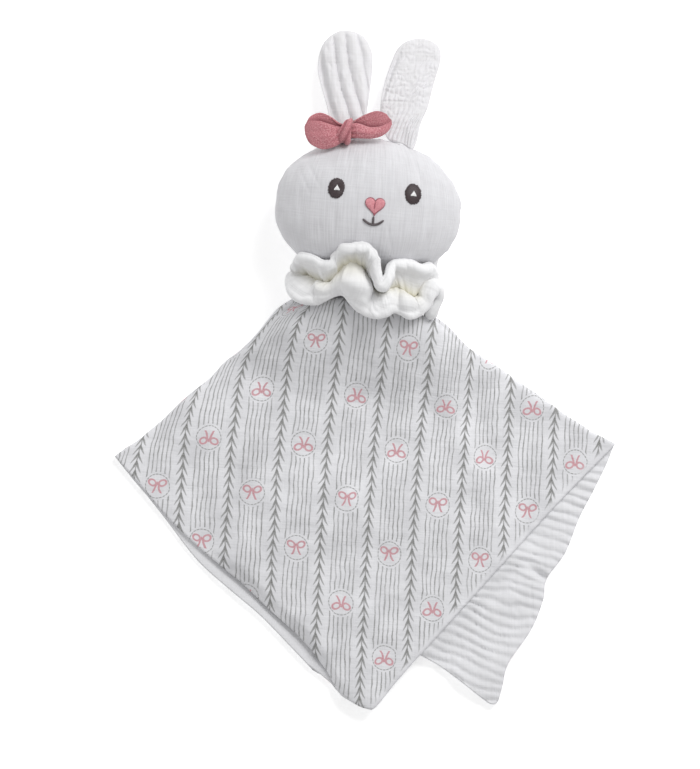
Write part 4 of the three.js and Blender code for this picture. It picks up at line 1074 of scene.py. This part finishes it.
def ruffle(name, guides, edge, puff_column, seed, painted_shade_strength):
    """Half of the collar, from the gathering line to its rolled free edge. Across it the cloth
    puffs out along a sine, and its thickness swells to the round roll at the edge; gathers run
    from the line and fade towards the roll."""
    lines = through(guides, RUFFLE_COLUMNS)
    inner = lines[:, 3:6]
    tip = lines[:, edge:edge + 3]
    reach = np.linalg.norm(tip - inner, axis=1, keepdims=True)
    way = (tip - inner) / reach
    run = unit(np.roll(tip + inner, -1, 0) - np.roll(tip + inner, 1, 0))
    face = unit(np.cross(run, way)) * (1 if edge == 0 else -1)
    total = reach + ROLL_RADIUS
    turn = round_turn(RUFFLE_ROWS)[None, :]
    at = (total + SEAM_OVERLAP) * (1 - np.cos(turn)) / 2 - SEAM_OVERLAP
    to_tip = total - at
    cap = np.sqrt(np.clip(ROLL_RADIUS**2 - (ROLL_RADIUS - to_tip) ** 2, 0, None))
    panel = PANEL_HALF + (ROLL_RADIUS - PANEL_HALF) * fade(to_tip, ROLL_RADIUS, 2.8 * ROLL_RADIUS)
    half = np.where(to_tip < ROLL_RADIUS, cap, panel) * smooth(at, -SEAM_OVERLAP, 1.5)
    side = np.sign(np.sin(turn))
    arc = np.cumsum(np.linalg.norm(np.roll(inner, -1, 0) - inner, axis=1))[:, None]
    from_line = np.maximum(at, 0)
    gathers = soft_noise(arc, at * 0.2, 2.1, seed) * np.exp(-from_line / 8) * smooth(at, 0, 2)
    dents = 0.55 * soft_noise(arc, at, 4.6, seed + 1) + 0.5 * pillows(arc, at * 0.7, 2.4, seed + 2)
    folds = 1.2 * soft_noise(arc, at * 0.3, 5.4, seed + 3) * smooth(at, 1, 7)
    pinches = 1 - pillows(arc + 0.2 * at, 0.15 * at, 3.6, seed + 6)
    puckers = pinches**2 * np.exp(-from_line / 12)
    fullness = 1 + 0.16 * soft_noise(arc, 0 * at, 6.0, seed + 4)
    fullness = fullness + 0.1 * soft_noise(arc, 0 * at, 2.6, seed + 5)
    bulge = lines[:, puff_column:puff_column + 1] * np.sin(math.pi * np.clip(at / reach, 0, 1))
    out = bulge + half * side * fullness + 1.1 * gathers + 0.8 * folds - 1.2 * puckers + dents
    grid = inner[:, None] + way[:, None] * at[..., None] + face[:, None] * out[..., None]
    grid[..., 2] = np.maximum(grid[..., 2], 0.4)
    uv = np.stack([arc + 0 * at, at + RUFFLE_BACK_UV * (side < 0)], axis=-1)
    # Painted shade: the crease mark, a creamy shade, is strongest at the gathering line and fades over 5 mm
    return closed_body(name, grid, uv, {"crease": painted_shade_strength * bell(at, 5.0)}, wrap_rows=True)


def build_collar():
    """Both halves of the collar, which meet in its gathering line."""
    guides = collar_guides()
    # The last value of each half is the strength of its painted crease shade
    upper = ruffle("collar_upper_ruffle", guides, 0, 9, 51, 0.9)
    finish_piece(upper, COLLAR_GAUZE, None, ("collar_ruffle",))
    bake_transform(upper)
    lower = ruffle("collar_lower_ruffle", guides, 6, 10, 61, 0.5)
    finish_piece(lower, COLLAR_GAUZE, None, ("collar_ruffle",))
    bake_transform(lower)


build_collar()

# Cloth: a square folded back along two lines, with one pleat behind; its faces from the table up
REAR, PLEAT, FLAP, FRONT = range(4)
LEFT_SHOULDER = (-33.2, 34.8)
RIGHT_SHOULDER = (33.2, 23.0)
CLOTH_MIDDLE = np.array((1.5, 35.8))
# Free edges of the faces, as photograph pixels
FRONT_EDGE = [
    (116, 459), (131, 476), (148, 496), (166, 517), (196, 546), (226, 571), (242, 584), (270, 611),
    (303, 641), (320, 663), (329, 675), (339, 694), (350, 702), (361, 708), (369, 710), (376, 708),
    (398, 681), (440, 634), (498, 570), (560, 502), (614, 447),
]
FLAP_EDGE = [
    (614, 447), (606, 467), (591, 497), (580, 518), (566, 553), (547, 580), (544, 600), (532, 630),
    (509, 664), (503, 687), (498, 703), (491, 705), (482, 699), (455, 678), (424, 658), (330, 612),
    (235, 561),
]
PLEAT_EDGE = [(235, 561), (300, 630), (362, 697), (368, 701), (376, 695), (440, 625), (504, 556)]
REAR_EDGE = [
    (504, 556), (410, 625), (356, 690), (345, 697), (338, 693), (325, 677), (315, 673), (306, 664),
    (264, 620), (247, 605), (229, 590), (197, 561), (166, 521), (148, 498), (131, 478), (116, 459),
]
FLAP_WAIST = ((504, 546), (551, 583))
LEFT_TIP, RIGHT_TIP = seen(FRONT_EDGE[0], FRONT_EDGE[-1])
RIGHT_SIDE_START = seen(FRONT_EDGE[-5])[0]
LOWEST_X = seen((369, 710))[0, 0]
PLEAT_HALF = 20.0
# How far the cloth's upper end bows up to the neck roll, and the power that shapes the bow
NECK_BOW = (5.5, 1.5)
FRONT_NECK_BOW = (9.0, 0.9)
# Each face's neck line ends, free edge, the side that its print faces, its place and its bow
CLOTH_FACES = (
    (LEFT_SHOULDER[0], RIGHT_SHOULDER[0], FRONT_EDGE, 1, FRONT, FRONT_NECK_BOW),
    (RIGHT_SHOULDER[0], -PLEAT_HALF, FLAP_EDGE, -1, FLAP, NECK_BOW),
    (-PLEAT_HALF, PLEAT_HALF, PLEAT_EDGE, 1, PLEAT, NECK_BOW),
    (PLEAT_HALF, LEFT_SHOULDER[0], REAR_EDGE, -1, REAR, NECK_BOW),
)
# The fold after each face: the side of its bulge, its turn, its sign, and the face of its print
CLOTH_FOLDS = ((-1, 1, 1, FRONT), (1, 1, -1, FLAP), (-1, 1, 1, PLEAT), (1, -1, 1, FRONT))
FOLD_STEPS = 7
# Columns of each face, as stretches of its free edge with their number of stations
PRINT_COLUMNS = ([(0, 1, 170)], [(0, 1, 100)], [(0, 1, 40)], [(0, 1, 90)])
LINING_COLUMNS = ([(0, 1, 30)], [(0, 0.66, 250), (0.67, 1, 12)], [(0, 1, 16)], [(0, 1, 36)])
EDGE_POINTS = 2000
# Waves of the two side folds in plan: size outwards, middle and width as shares of the fold
LEFT_FOLD_WAVE = ((-2.2, 0.8, 9.0), (3.4, 0.08, 0.13), (2.2, 0.39, 0.09))
RIGHT_FOLD_WAVE = ((-1.7, 0.8, 9.0), (5.0, 0.02, 0.14), (-0.8, 0.5, 0.15))
FOLD_WAVE_REACH = 16.0
TABLE_GAP = 0.9
LAYER_STEP = 2.1
NECK_HEIGHT = 14.9
NECK_STEP = 1.7
NECK_ARCH = 7.4
SHOULDER_FALL = 50.0
BELLY_ARCH = 1.6
BELLY_SWELL = 1.7
REAR_RIM_LIFT = 0.9
FRONT_RIM_DROP = 3.4
SHEET_OFFSET = 0.5
SHEET_HALF = 0.3
HEM_WIDTH = (1.8, 4.2)


class Pile(NamedTuple):
    """The folded cloth's stations, as arrays. A surface point lies at a radius round its centre,
    which is a spot in plan and a height, and its turn is an angle from level. On a face the radius
    is nothing and the turn is straight up or down; round a fold the bulge is the way in plan that
    it swings out. The sign is 1 where the print's side lies outwards and -1 where it lies inwards,
    and the face is the place of the one whose print it carries."""
    spot: np.ndarray
    centre: np.ndarray
    radius: np.ndarray
    turn: np.ndarray
    bulge: np.ndarray
    sign: np.ndarray
    face: np.ndarray


def neck_share(x):
    """A place across as a share of the way from the left shoulder to the right."""
    return (x - LEFT_SHOULDER[0]) / (RIGHT_SHOULDER[0] - LEFT_SHOULDER[0])


def neck_line(x, bow=NECK_BOW):
    """The cloth's upper end: a straight line between the shoulders, bowed up to the neck roll by
    a power of a sine."""
    share = neck_share(x)
    rise = LEFT_SHOULDER[1] + (RIGHT_SHOULDER[1] - LEFT_SHOULDER[1]) * share
    return rise + bow[0] * np.sin(math.pi * np.clip(share, 0, 1)) ** bow[1]


def beside(spot, start, end):
    """Distance in plan to the right of a line, as seen when looking from its start to its end."""
    return against_line(spot, start, end)[1]


def neck_reach(spot):
    """Distance in plan from the line between the cloth's two shoulders."""
    along, aside, length, _ = against_line(spot, LEFT_SHOULDER, RIGHT_SHOULDER)
    return np.hypot(np.maximum(np.maximum(-along, along - length), 0), aside)


def swollen(spot):
    """Plan points moved outwards beside the two side folds, where the cloth is full near the
    neck, and inwards further out, where the fold's own roundness would reach too far."""
    folds = ((LEFT_SHOULDER, LEFT_TIP, 1, LEFT_FOLD_WAVE), (RIGHT_SHOULDER, RIGHT_TIP, -1, RIGHT_FOLD_WAVE))
    for start, end, side, wave in folds:
        along, aside, length, way = against_line(spot, start, end)
        share = along / length
        bulge = sum(size * bell(share - middle, width) for size, middle, width in wave)
        near = bell(aside, FOLD_WAVE_REACH) * fade(share, 0.86, 1.0)
        spot = spot + np.array((way[1], -way[0])) * side * (bulge * near)[..., None]
    return spot


def pile_height(spot, place, along, length, arch):
    """Height of a face's middle: its place in the pile, less where the faces below it end, with
    the rise to the neck, the belly of the front and soft waves all over. Along the lower left
    edge the rear's rim is lifted a little and the front's rim hangs down over it."""
    x, y = spot[..., 0], spot[..., 1]
    left = smooth(beside(spot, (-PLEAT_HALF, neck_line(-PLEAT_HALF)), seen(PLEAT_EDGE[0])[0]), 1, 17)
    right = smooth(-beside(spot, (PLEAT_HALF, neck_line(PLEAT_HALF)), seen(PLEAT_EDGE[-1])[0]), 1, 17)
    outside = beside(spot, RIGHT_SIDE_START, RIGHT_TIP)
    to_edge = length - along
    steps, soft = place, 0 * x
    if place == FRONT:
        steps = place - 2 * np.maximum(right, left)
        waves = 1.0 * soft_noise(x, y, 34, 71) + 0.6 * soft_noise(x, y, 14, 72)
        belly = np.sin(math.pi * np.clip(along / length, 0, 1)) ** 0.8
        soft = belly * (BELLY_ARCH * arch + BELLY_SWELL * np.maximum(waves + 1, 0))
    if place == FLAP:
        steps = place - 2 * np.maximum(right, smooth(outside, -2, 9))
        waist = crease(x, y, *seen(*FLAP_WAIST), 2.2)
        swell = 2.2 + 1.4 * np.sin(0.16 * y - 0.08 * x) - 3.2 * waist
        soft = smooth(outside, 2, 20) * np.maximum(swell, -0.4)
    flat = TABLE_GAP + LAYER_STEP * steps
    if place == REAR:
        flat = flat + REAR_RIM_LIFT * (1.5 - left) * fade(to_edge, 2.5, 8) * fade(x, -5, 5)
    if place == FRONT:
        flat = flat - FRONT_RIM_DROP * (1 - left) * fade(to_edge, 0.5, 7) * fade(x, -20, -5)
    neck = NECK_HEIGHT + NECK_STEP * place + (NECK_ARCH * arch if place == FRONT else 0)
    share = fade(neck_reach(spot), 0, SHOULDER_FALL)
    return flat * (1 - share) + neck * share + soft


def face_grid(across_start, across_end, edge, place, bow, stretches, rows):
    """One face: straight lines from its neck line to its free edge, as points in plan and their
    heights."""
    shares = np.concatenate([np.linspace(*stretch) for stretch in stretches])
    line = through(seen(*edge), EDGE_POINTS, closed=False)
    at = shares * (EDGE_POINTS - 1)
    outer = np.stack([np.interp(at, np.arange(EDGE_POINTS), line[:, k]) for k in (0, 1)], axis=1)
    across = across_start + (across_end - across_start) * shares
    inner = np.stack([across, neck_line(across, bow)], axis=1)
    way = outer - inner
    length = np.linalg.norm(way, axis=1)[:, None]
    spot = swollen(inner[:, None] + way[:, None] * rows[None, :, None])
    arch = np.sin(math.pi * np.clip(neck_share(across), 0, 1))[:, None] ** 0.7
    return spot, pile_height(spot, place, length * rows[None], length, arch)


def cloth_pile(columns, rows):
    """The pile's stations from face to face, with a half circle of stations round each fold."""
    flats = [face_grid(start, end, edge, place, bow, stretches, rows)
             for (start, end, edge, _, place, bow), stretches in zip(CLOTH_FACES, columns)]
    stations = []
    for k, (spot, z) in enumerate(flats):
        side, place = CLOTH_FACES[k][3:5]
        even = np.ones(z.shape)
        stations.append((spot, z, 0 * z, side * math.pi / 2 * even, 0 * spot, even, place * even))
        outwards, turning, sign, printed = CLOTH_FOLDS[k]
        after_spot, after_z = flats[(k + 1) % len(flats)]
        fold = (spot[-1] + after_spot[0]) / 2
        way = unit(fold[-1] - fold[0])
        down = turning * np.linspace(math.pi / 2, -math.pi / 2, FOLD_STEPS + 2)[1:-1]
        even = np.ones((FOLD_STEPS, len(rows)))
        stations.append((
            fold * even[..., None], (z[-1] + after_z[0]) / 2 * even, np.abs(z[-1] - after_z[0]) / 2 * even,
            down[:, None] * even, np.array((way[1], -way[0])) * outwards * even[..., None],
            sign * even, printed * even,
        ))
    return Pile(*[np.concatenate(parts) for parts in zip(*stations)])


def wrapped(pile, distance):
    """The surface that lies at a distance from the pile's middle, outwards on the print's side."""
    reach = pile.radius + pile.sign * distance
    plan = pile.spot + pile.bulge * (reach * np.cos(pile.turn))[..., None]
    return np.concatenate([plan, (pile.centre + reach * np.sin(pile.turn))[..., None]], axis=-1)


def mirrored(spot, start, end):
    """Points in plan mirrored over the line between two places."""
    along, _, _, way = against_line(spot, start, end)
    start = np.array(start, float)
    return start + 2 * along[..., None] * way - (spot - start)


# Where the print lies on the cloth: its turn and shift
PRINT_TURN = math.radians(2.7)
PRINT_SHIFT = 5.8
# The place across from which on to the right the print is drawn together, by how much, its lean
PRINT_RIGHT = -5.7
PRINT_RIGHT_GATHER = 1.048
PRINT_LEAN = 0.02
# The print is drawn to the left towards the neck, and it sags on the right
NECK_DRAW = 6.0
NECK_DRAW_REACH = 60.0
RIGHT_SAG = 3.6
RIGHT_SAG_MIDDLE = (48.0, 42.0)
RIGHT_SAG_REACH = 28.0
# How far the cloth beside the left fold is rolled under
ROLLED_EDGE = 26.0
ROLLED_EDGE_LOSS = 22.0
ROLLED_EDGE_REACH = 5.0
ROLLED_EDGE_BOW = 4.5


def rolled_under(spot):
    """The front's points moved outwards to where they would lie, were the cloth beside the left
    fold not rolled under. The roll is fuller towards the neck."""
    along, aside, length, way = against_line(spot, LEFT_SHOULDER, LEFT_TIP)
    share = np.clip(along / length, 0, 1)
    inside = np.maximum(ROLLED_EDGE_BOW * np.sin(math.pi * share**0.6) - aside, 0)
    shift = (ROLLED_EDGE - ROLLED_EDGE_LOSS * share) * np.exp(-inside / ROLLED_EDGE_REACH)
    return spot + np.array((way[1], -way[0])) * shift[..., None]


def print_places(spot, face):
    """Where each point lies on the flat cloth, across and down the print, in millimetres. Behind
    the folds the plan is mirrored first. Towards the neck the cloth is drawn to the left, right of
    the middle it is drawn together, and there it sags below the collar."""
    face = face[..., None]
    behind = np.where(face == REAR, mirrored(spot, LEFT_SHOULDER, LEFT_TIP),
                      mirrored(spot, RIGHT_SHOULDER, RIGHT_TIP))
    p = np.where(face == FRONT, rolled_under(spot), behind) - CLOTH_MIDDLE
    x, down = p[..., 0], -p[..., 1]
    c, s = math.cos(PRINT_TURN), math.sin(PRINT_TURN)
    across, along = x * c + down * s, down * c - x * s
    drawn = NECK_DRAW * np.exp(-((np.maximum(along, 0) / NECK_DRAW_REACH) ** 1.6)) * fade(x, 40, 65)
    across = across - drawn
    gathered = PRINT_RIGHT + (across - PRINT_RIGHT) * PRINT_RIGHT_GATHER
    across = np.where(across > PRINT_RIGHT, gathered, across)
    sag = RIGHT_SAG * bell(np.hypot(x - RIGHT_SAG_MIDDLE[0], down - RIGHT_SAG_MIDDLE[1]), RIGHT_SAG_REACH)
    return np.stack([across - PRINT_SHIFT, along - PRINT_LEAN * x - sag], axis=-1)


# The lining's crinkles: the slant of their ridges and the distance between them
RIDGE_SLANT = math.radians(17)
RIDGE_PITCH = 4.9


def lining_ridges(x, y):
    """Crinkles of the gauze: ridges of about five millimetres that slant down to the right, and
    run into each other."""
    c, s = math.cos(RIDGE_SLANT), math.sin(RIDGE_SLANT)
    across, along = x * s + y * c, x * c - y * s
    shift = 2.6 * soft_noise(along, across, 21, 81) + 0.9 * soft_noise(along, across * 2, 8, 82)
    cycle = ((across + shift) / RIDGE_PITCH) % 1
    ridge = np.sin(math.pi * cycle) ** 0.8 * (1.1 - 0.5 * cycle)
    return ridge * (0.9 + 0.4 * soft_noise(along, across, 10, 83)) + 0.25 * pillows(x, y, 3.0, 84)


def sheet_body(name, near, far, uv, marks):
    """A closed sheet: the surface on one side of it, and the one on its other side back again."""
    grid = np.concatenate([near, far[:, ::-1]], axis=1)
    uv = np.concatenate([uv, uv[:, ::-1]], axis=1)
    marks = {k: np.concatenate([v, v[:, ::-1]], axis=1) for k, v in marks.items()}
    return closed_body(name, grid, uv, marks, wrap_rows=True)


def build_print_layer():
    """The printed layer, outside in the pile. The right half of its front edge has a bare hem."""
    pile = cloth_pile(PRINT_COLUMNS, np.linspace(0, 1, 104))
    round_fold = pile.bulge * (pile.radius * (math.pi / 2 - pile.turn))[..., None]
    uv = print_places(pile.spot + round_fold, pile.face)
    right_edge = (pile.face == FRONT) & (pile.spot[..., 0] > LOWEST_X)
    to_edge = np.linalg.norm(pile.spot - pile.spot[:, -1:], axis=2)
    hem = np.where(right_edge, fade(to_edge, *HEM_WIDTH), 0.0)
    outer = wrapped(pile, SHEET_OFFSET + SHEET_HALF)
    inner = wrapped(pile, SHEET_OFFSET - SHEET_HALF)
    sheet = sheet_body("cloth_print_sheet", outer, inner, uv, {"hem": hem})
    finish_piece(sheet, PRINTED_MUSLIN, None, ("cloth_print",))
    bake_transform(sheet)


def build_lining():
    """The lining, inside in the pile. Its crinkles are full on the flap, where they are seen."""
    rows = np.concatenate([np.linspace(0, 0.4, 16, endpoint=False), np.linspace(0.4, 1, 104)])
    pile = cloth_pile(LINING_COLUMNS, rows)
    ridges = lining_ridges(pile.spot[..., 0], pile.spot[..., 1]) * np.where(pile.face == FLAP, 1.0, 0.12)
    near = wrapped(pile, -(SHEET_OFFSET - SHEET_HALF) - 0.9 * ridges)
    far = wrapped(pile, -(SHEET_OFFSET + SHEET_HALF) - 1.5 * ridges)
    lining = sheet_body("cloth_lining_sheet", near, far, pile.spot, {})
    finish_piece(lining, LINING_GAUZE, None, ("cloth_lining",))
    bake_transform(lining)


build_print_layer()
build_lining()

# Stage, in metres: a faintly lit opal table, on which hardly a shadow shows
TABLE_HALF = 1.6
TABLE_DEPTH = 0.0002
TABLE_GLOW = 0.38
# Two soft lamps, each with its place, size and power
LAMPS = (("soft_key", (0.86, 1.2, 1.35), 0.9, 23.0), ("soft_fill", (-1.0, -0.2, 1.6), 1.4, 3.0))
SKY_STRENGTH = 0.52
# The camera: its lens in millimetres, its height, and how far it sees
CAMERA_LENS = 1098
CAMERA_HEIGHT = 12.025
CAMERA_REACH = 60


def build_table():
    """The table: a square of opal acrylic a hair below the toy."""
    corners = [(x * TABLE_HALF, y * TABLE_HALF, 0) for x, y in ((-1, -1), (1, -1), (1, 1), (-1, 1))]
    mesh = bpy.data.meshes.new("table_top")
    mesh.from_pydata(corners, [], [(0, 1, 2, 3)])
    table = bpy.data.objects.new("table_top", mesh)
    table.location.z = -TABLE_DEPTH
    bpy.context.scene.collection.objects.link(table)
    material, _, shader = start_material("opal_acrylic_light_table", 0.8)
    shader.inputs["Base Color"].default_value = linear("#f8f8f8")
    shader.inputs["Emission Color"].default_value = (1, 1, 1, 1)
    shader.inputs["Emission Strength"].default_value = TABLE_GLOW
    mesh.materials.append(material)


def build_lights():
    """The lamps, turned to the toy's middle, and an even sky."""
    for name, place, size, power in LAMPS:
        light = bpy.data.lights.new(name, "AREA")
        light.size = size
        light.energy = power
        lamp = bpy.data.objects.new(name, light)
        lamp.location = place
        x, y, z = place
        lamp.rotation_euler = (math.acos(z / math.hypot(x, y, z)), 0, math.atan2(y, x) + math.pi / 2)
        bpy.context.scene.collection.objects.link(lamp)
    world = bpy.data.worlds.new("studio")
    world.use_nodes = True
    sky = world.node_tree.nodes["Background"]
    sky.inputs[0].default_value = (1, 1, 1, 1)
    sky.inputs[1].default_value = SKY_STRENGTH
    bpy.context.scene.world = world


def build_camera():
    """The camera, high over the pixel in the photograph's middle, looking straight down, and a
    plain view of its colours."""
    camera = bpy.data.cameras.new("camera")
    camera.lens = CAMERA_LENS
    camera.clip_end = CAMERA_REACH
    eye = bpy.data.objects.new("camera", camera)
    x, y = (seen(PIXEL_MIDDLE)[0] + TOY_SHIFT[:2]) * MM
    eye.location = (x, y, CAMERA_HEIGHT)
    bpy.context.scene.collection.objects.link(eye)
    bpy.context.scene.camera = eye
    bpy.context.scene.view_settings.view_transform = "Standard"


build_table()
build_lights()
build_camera()
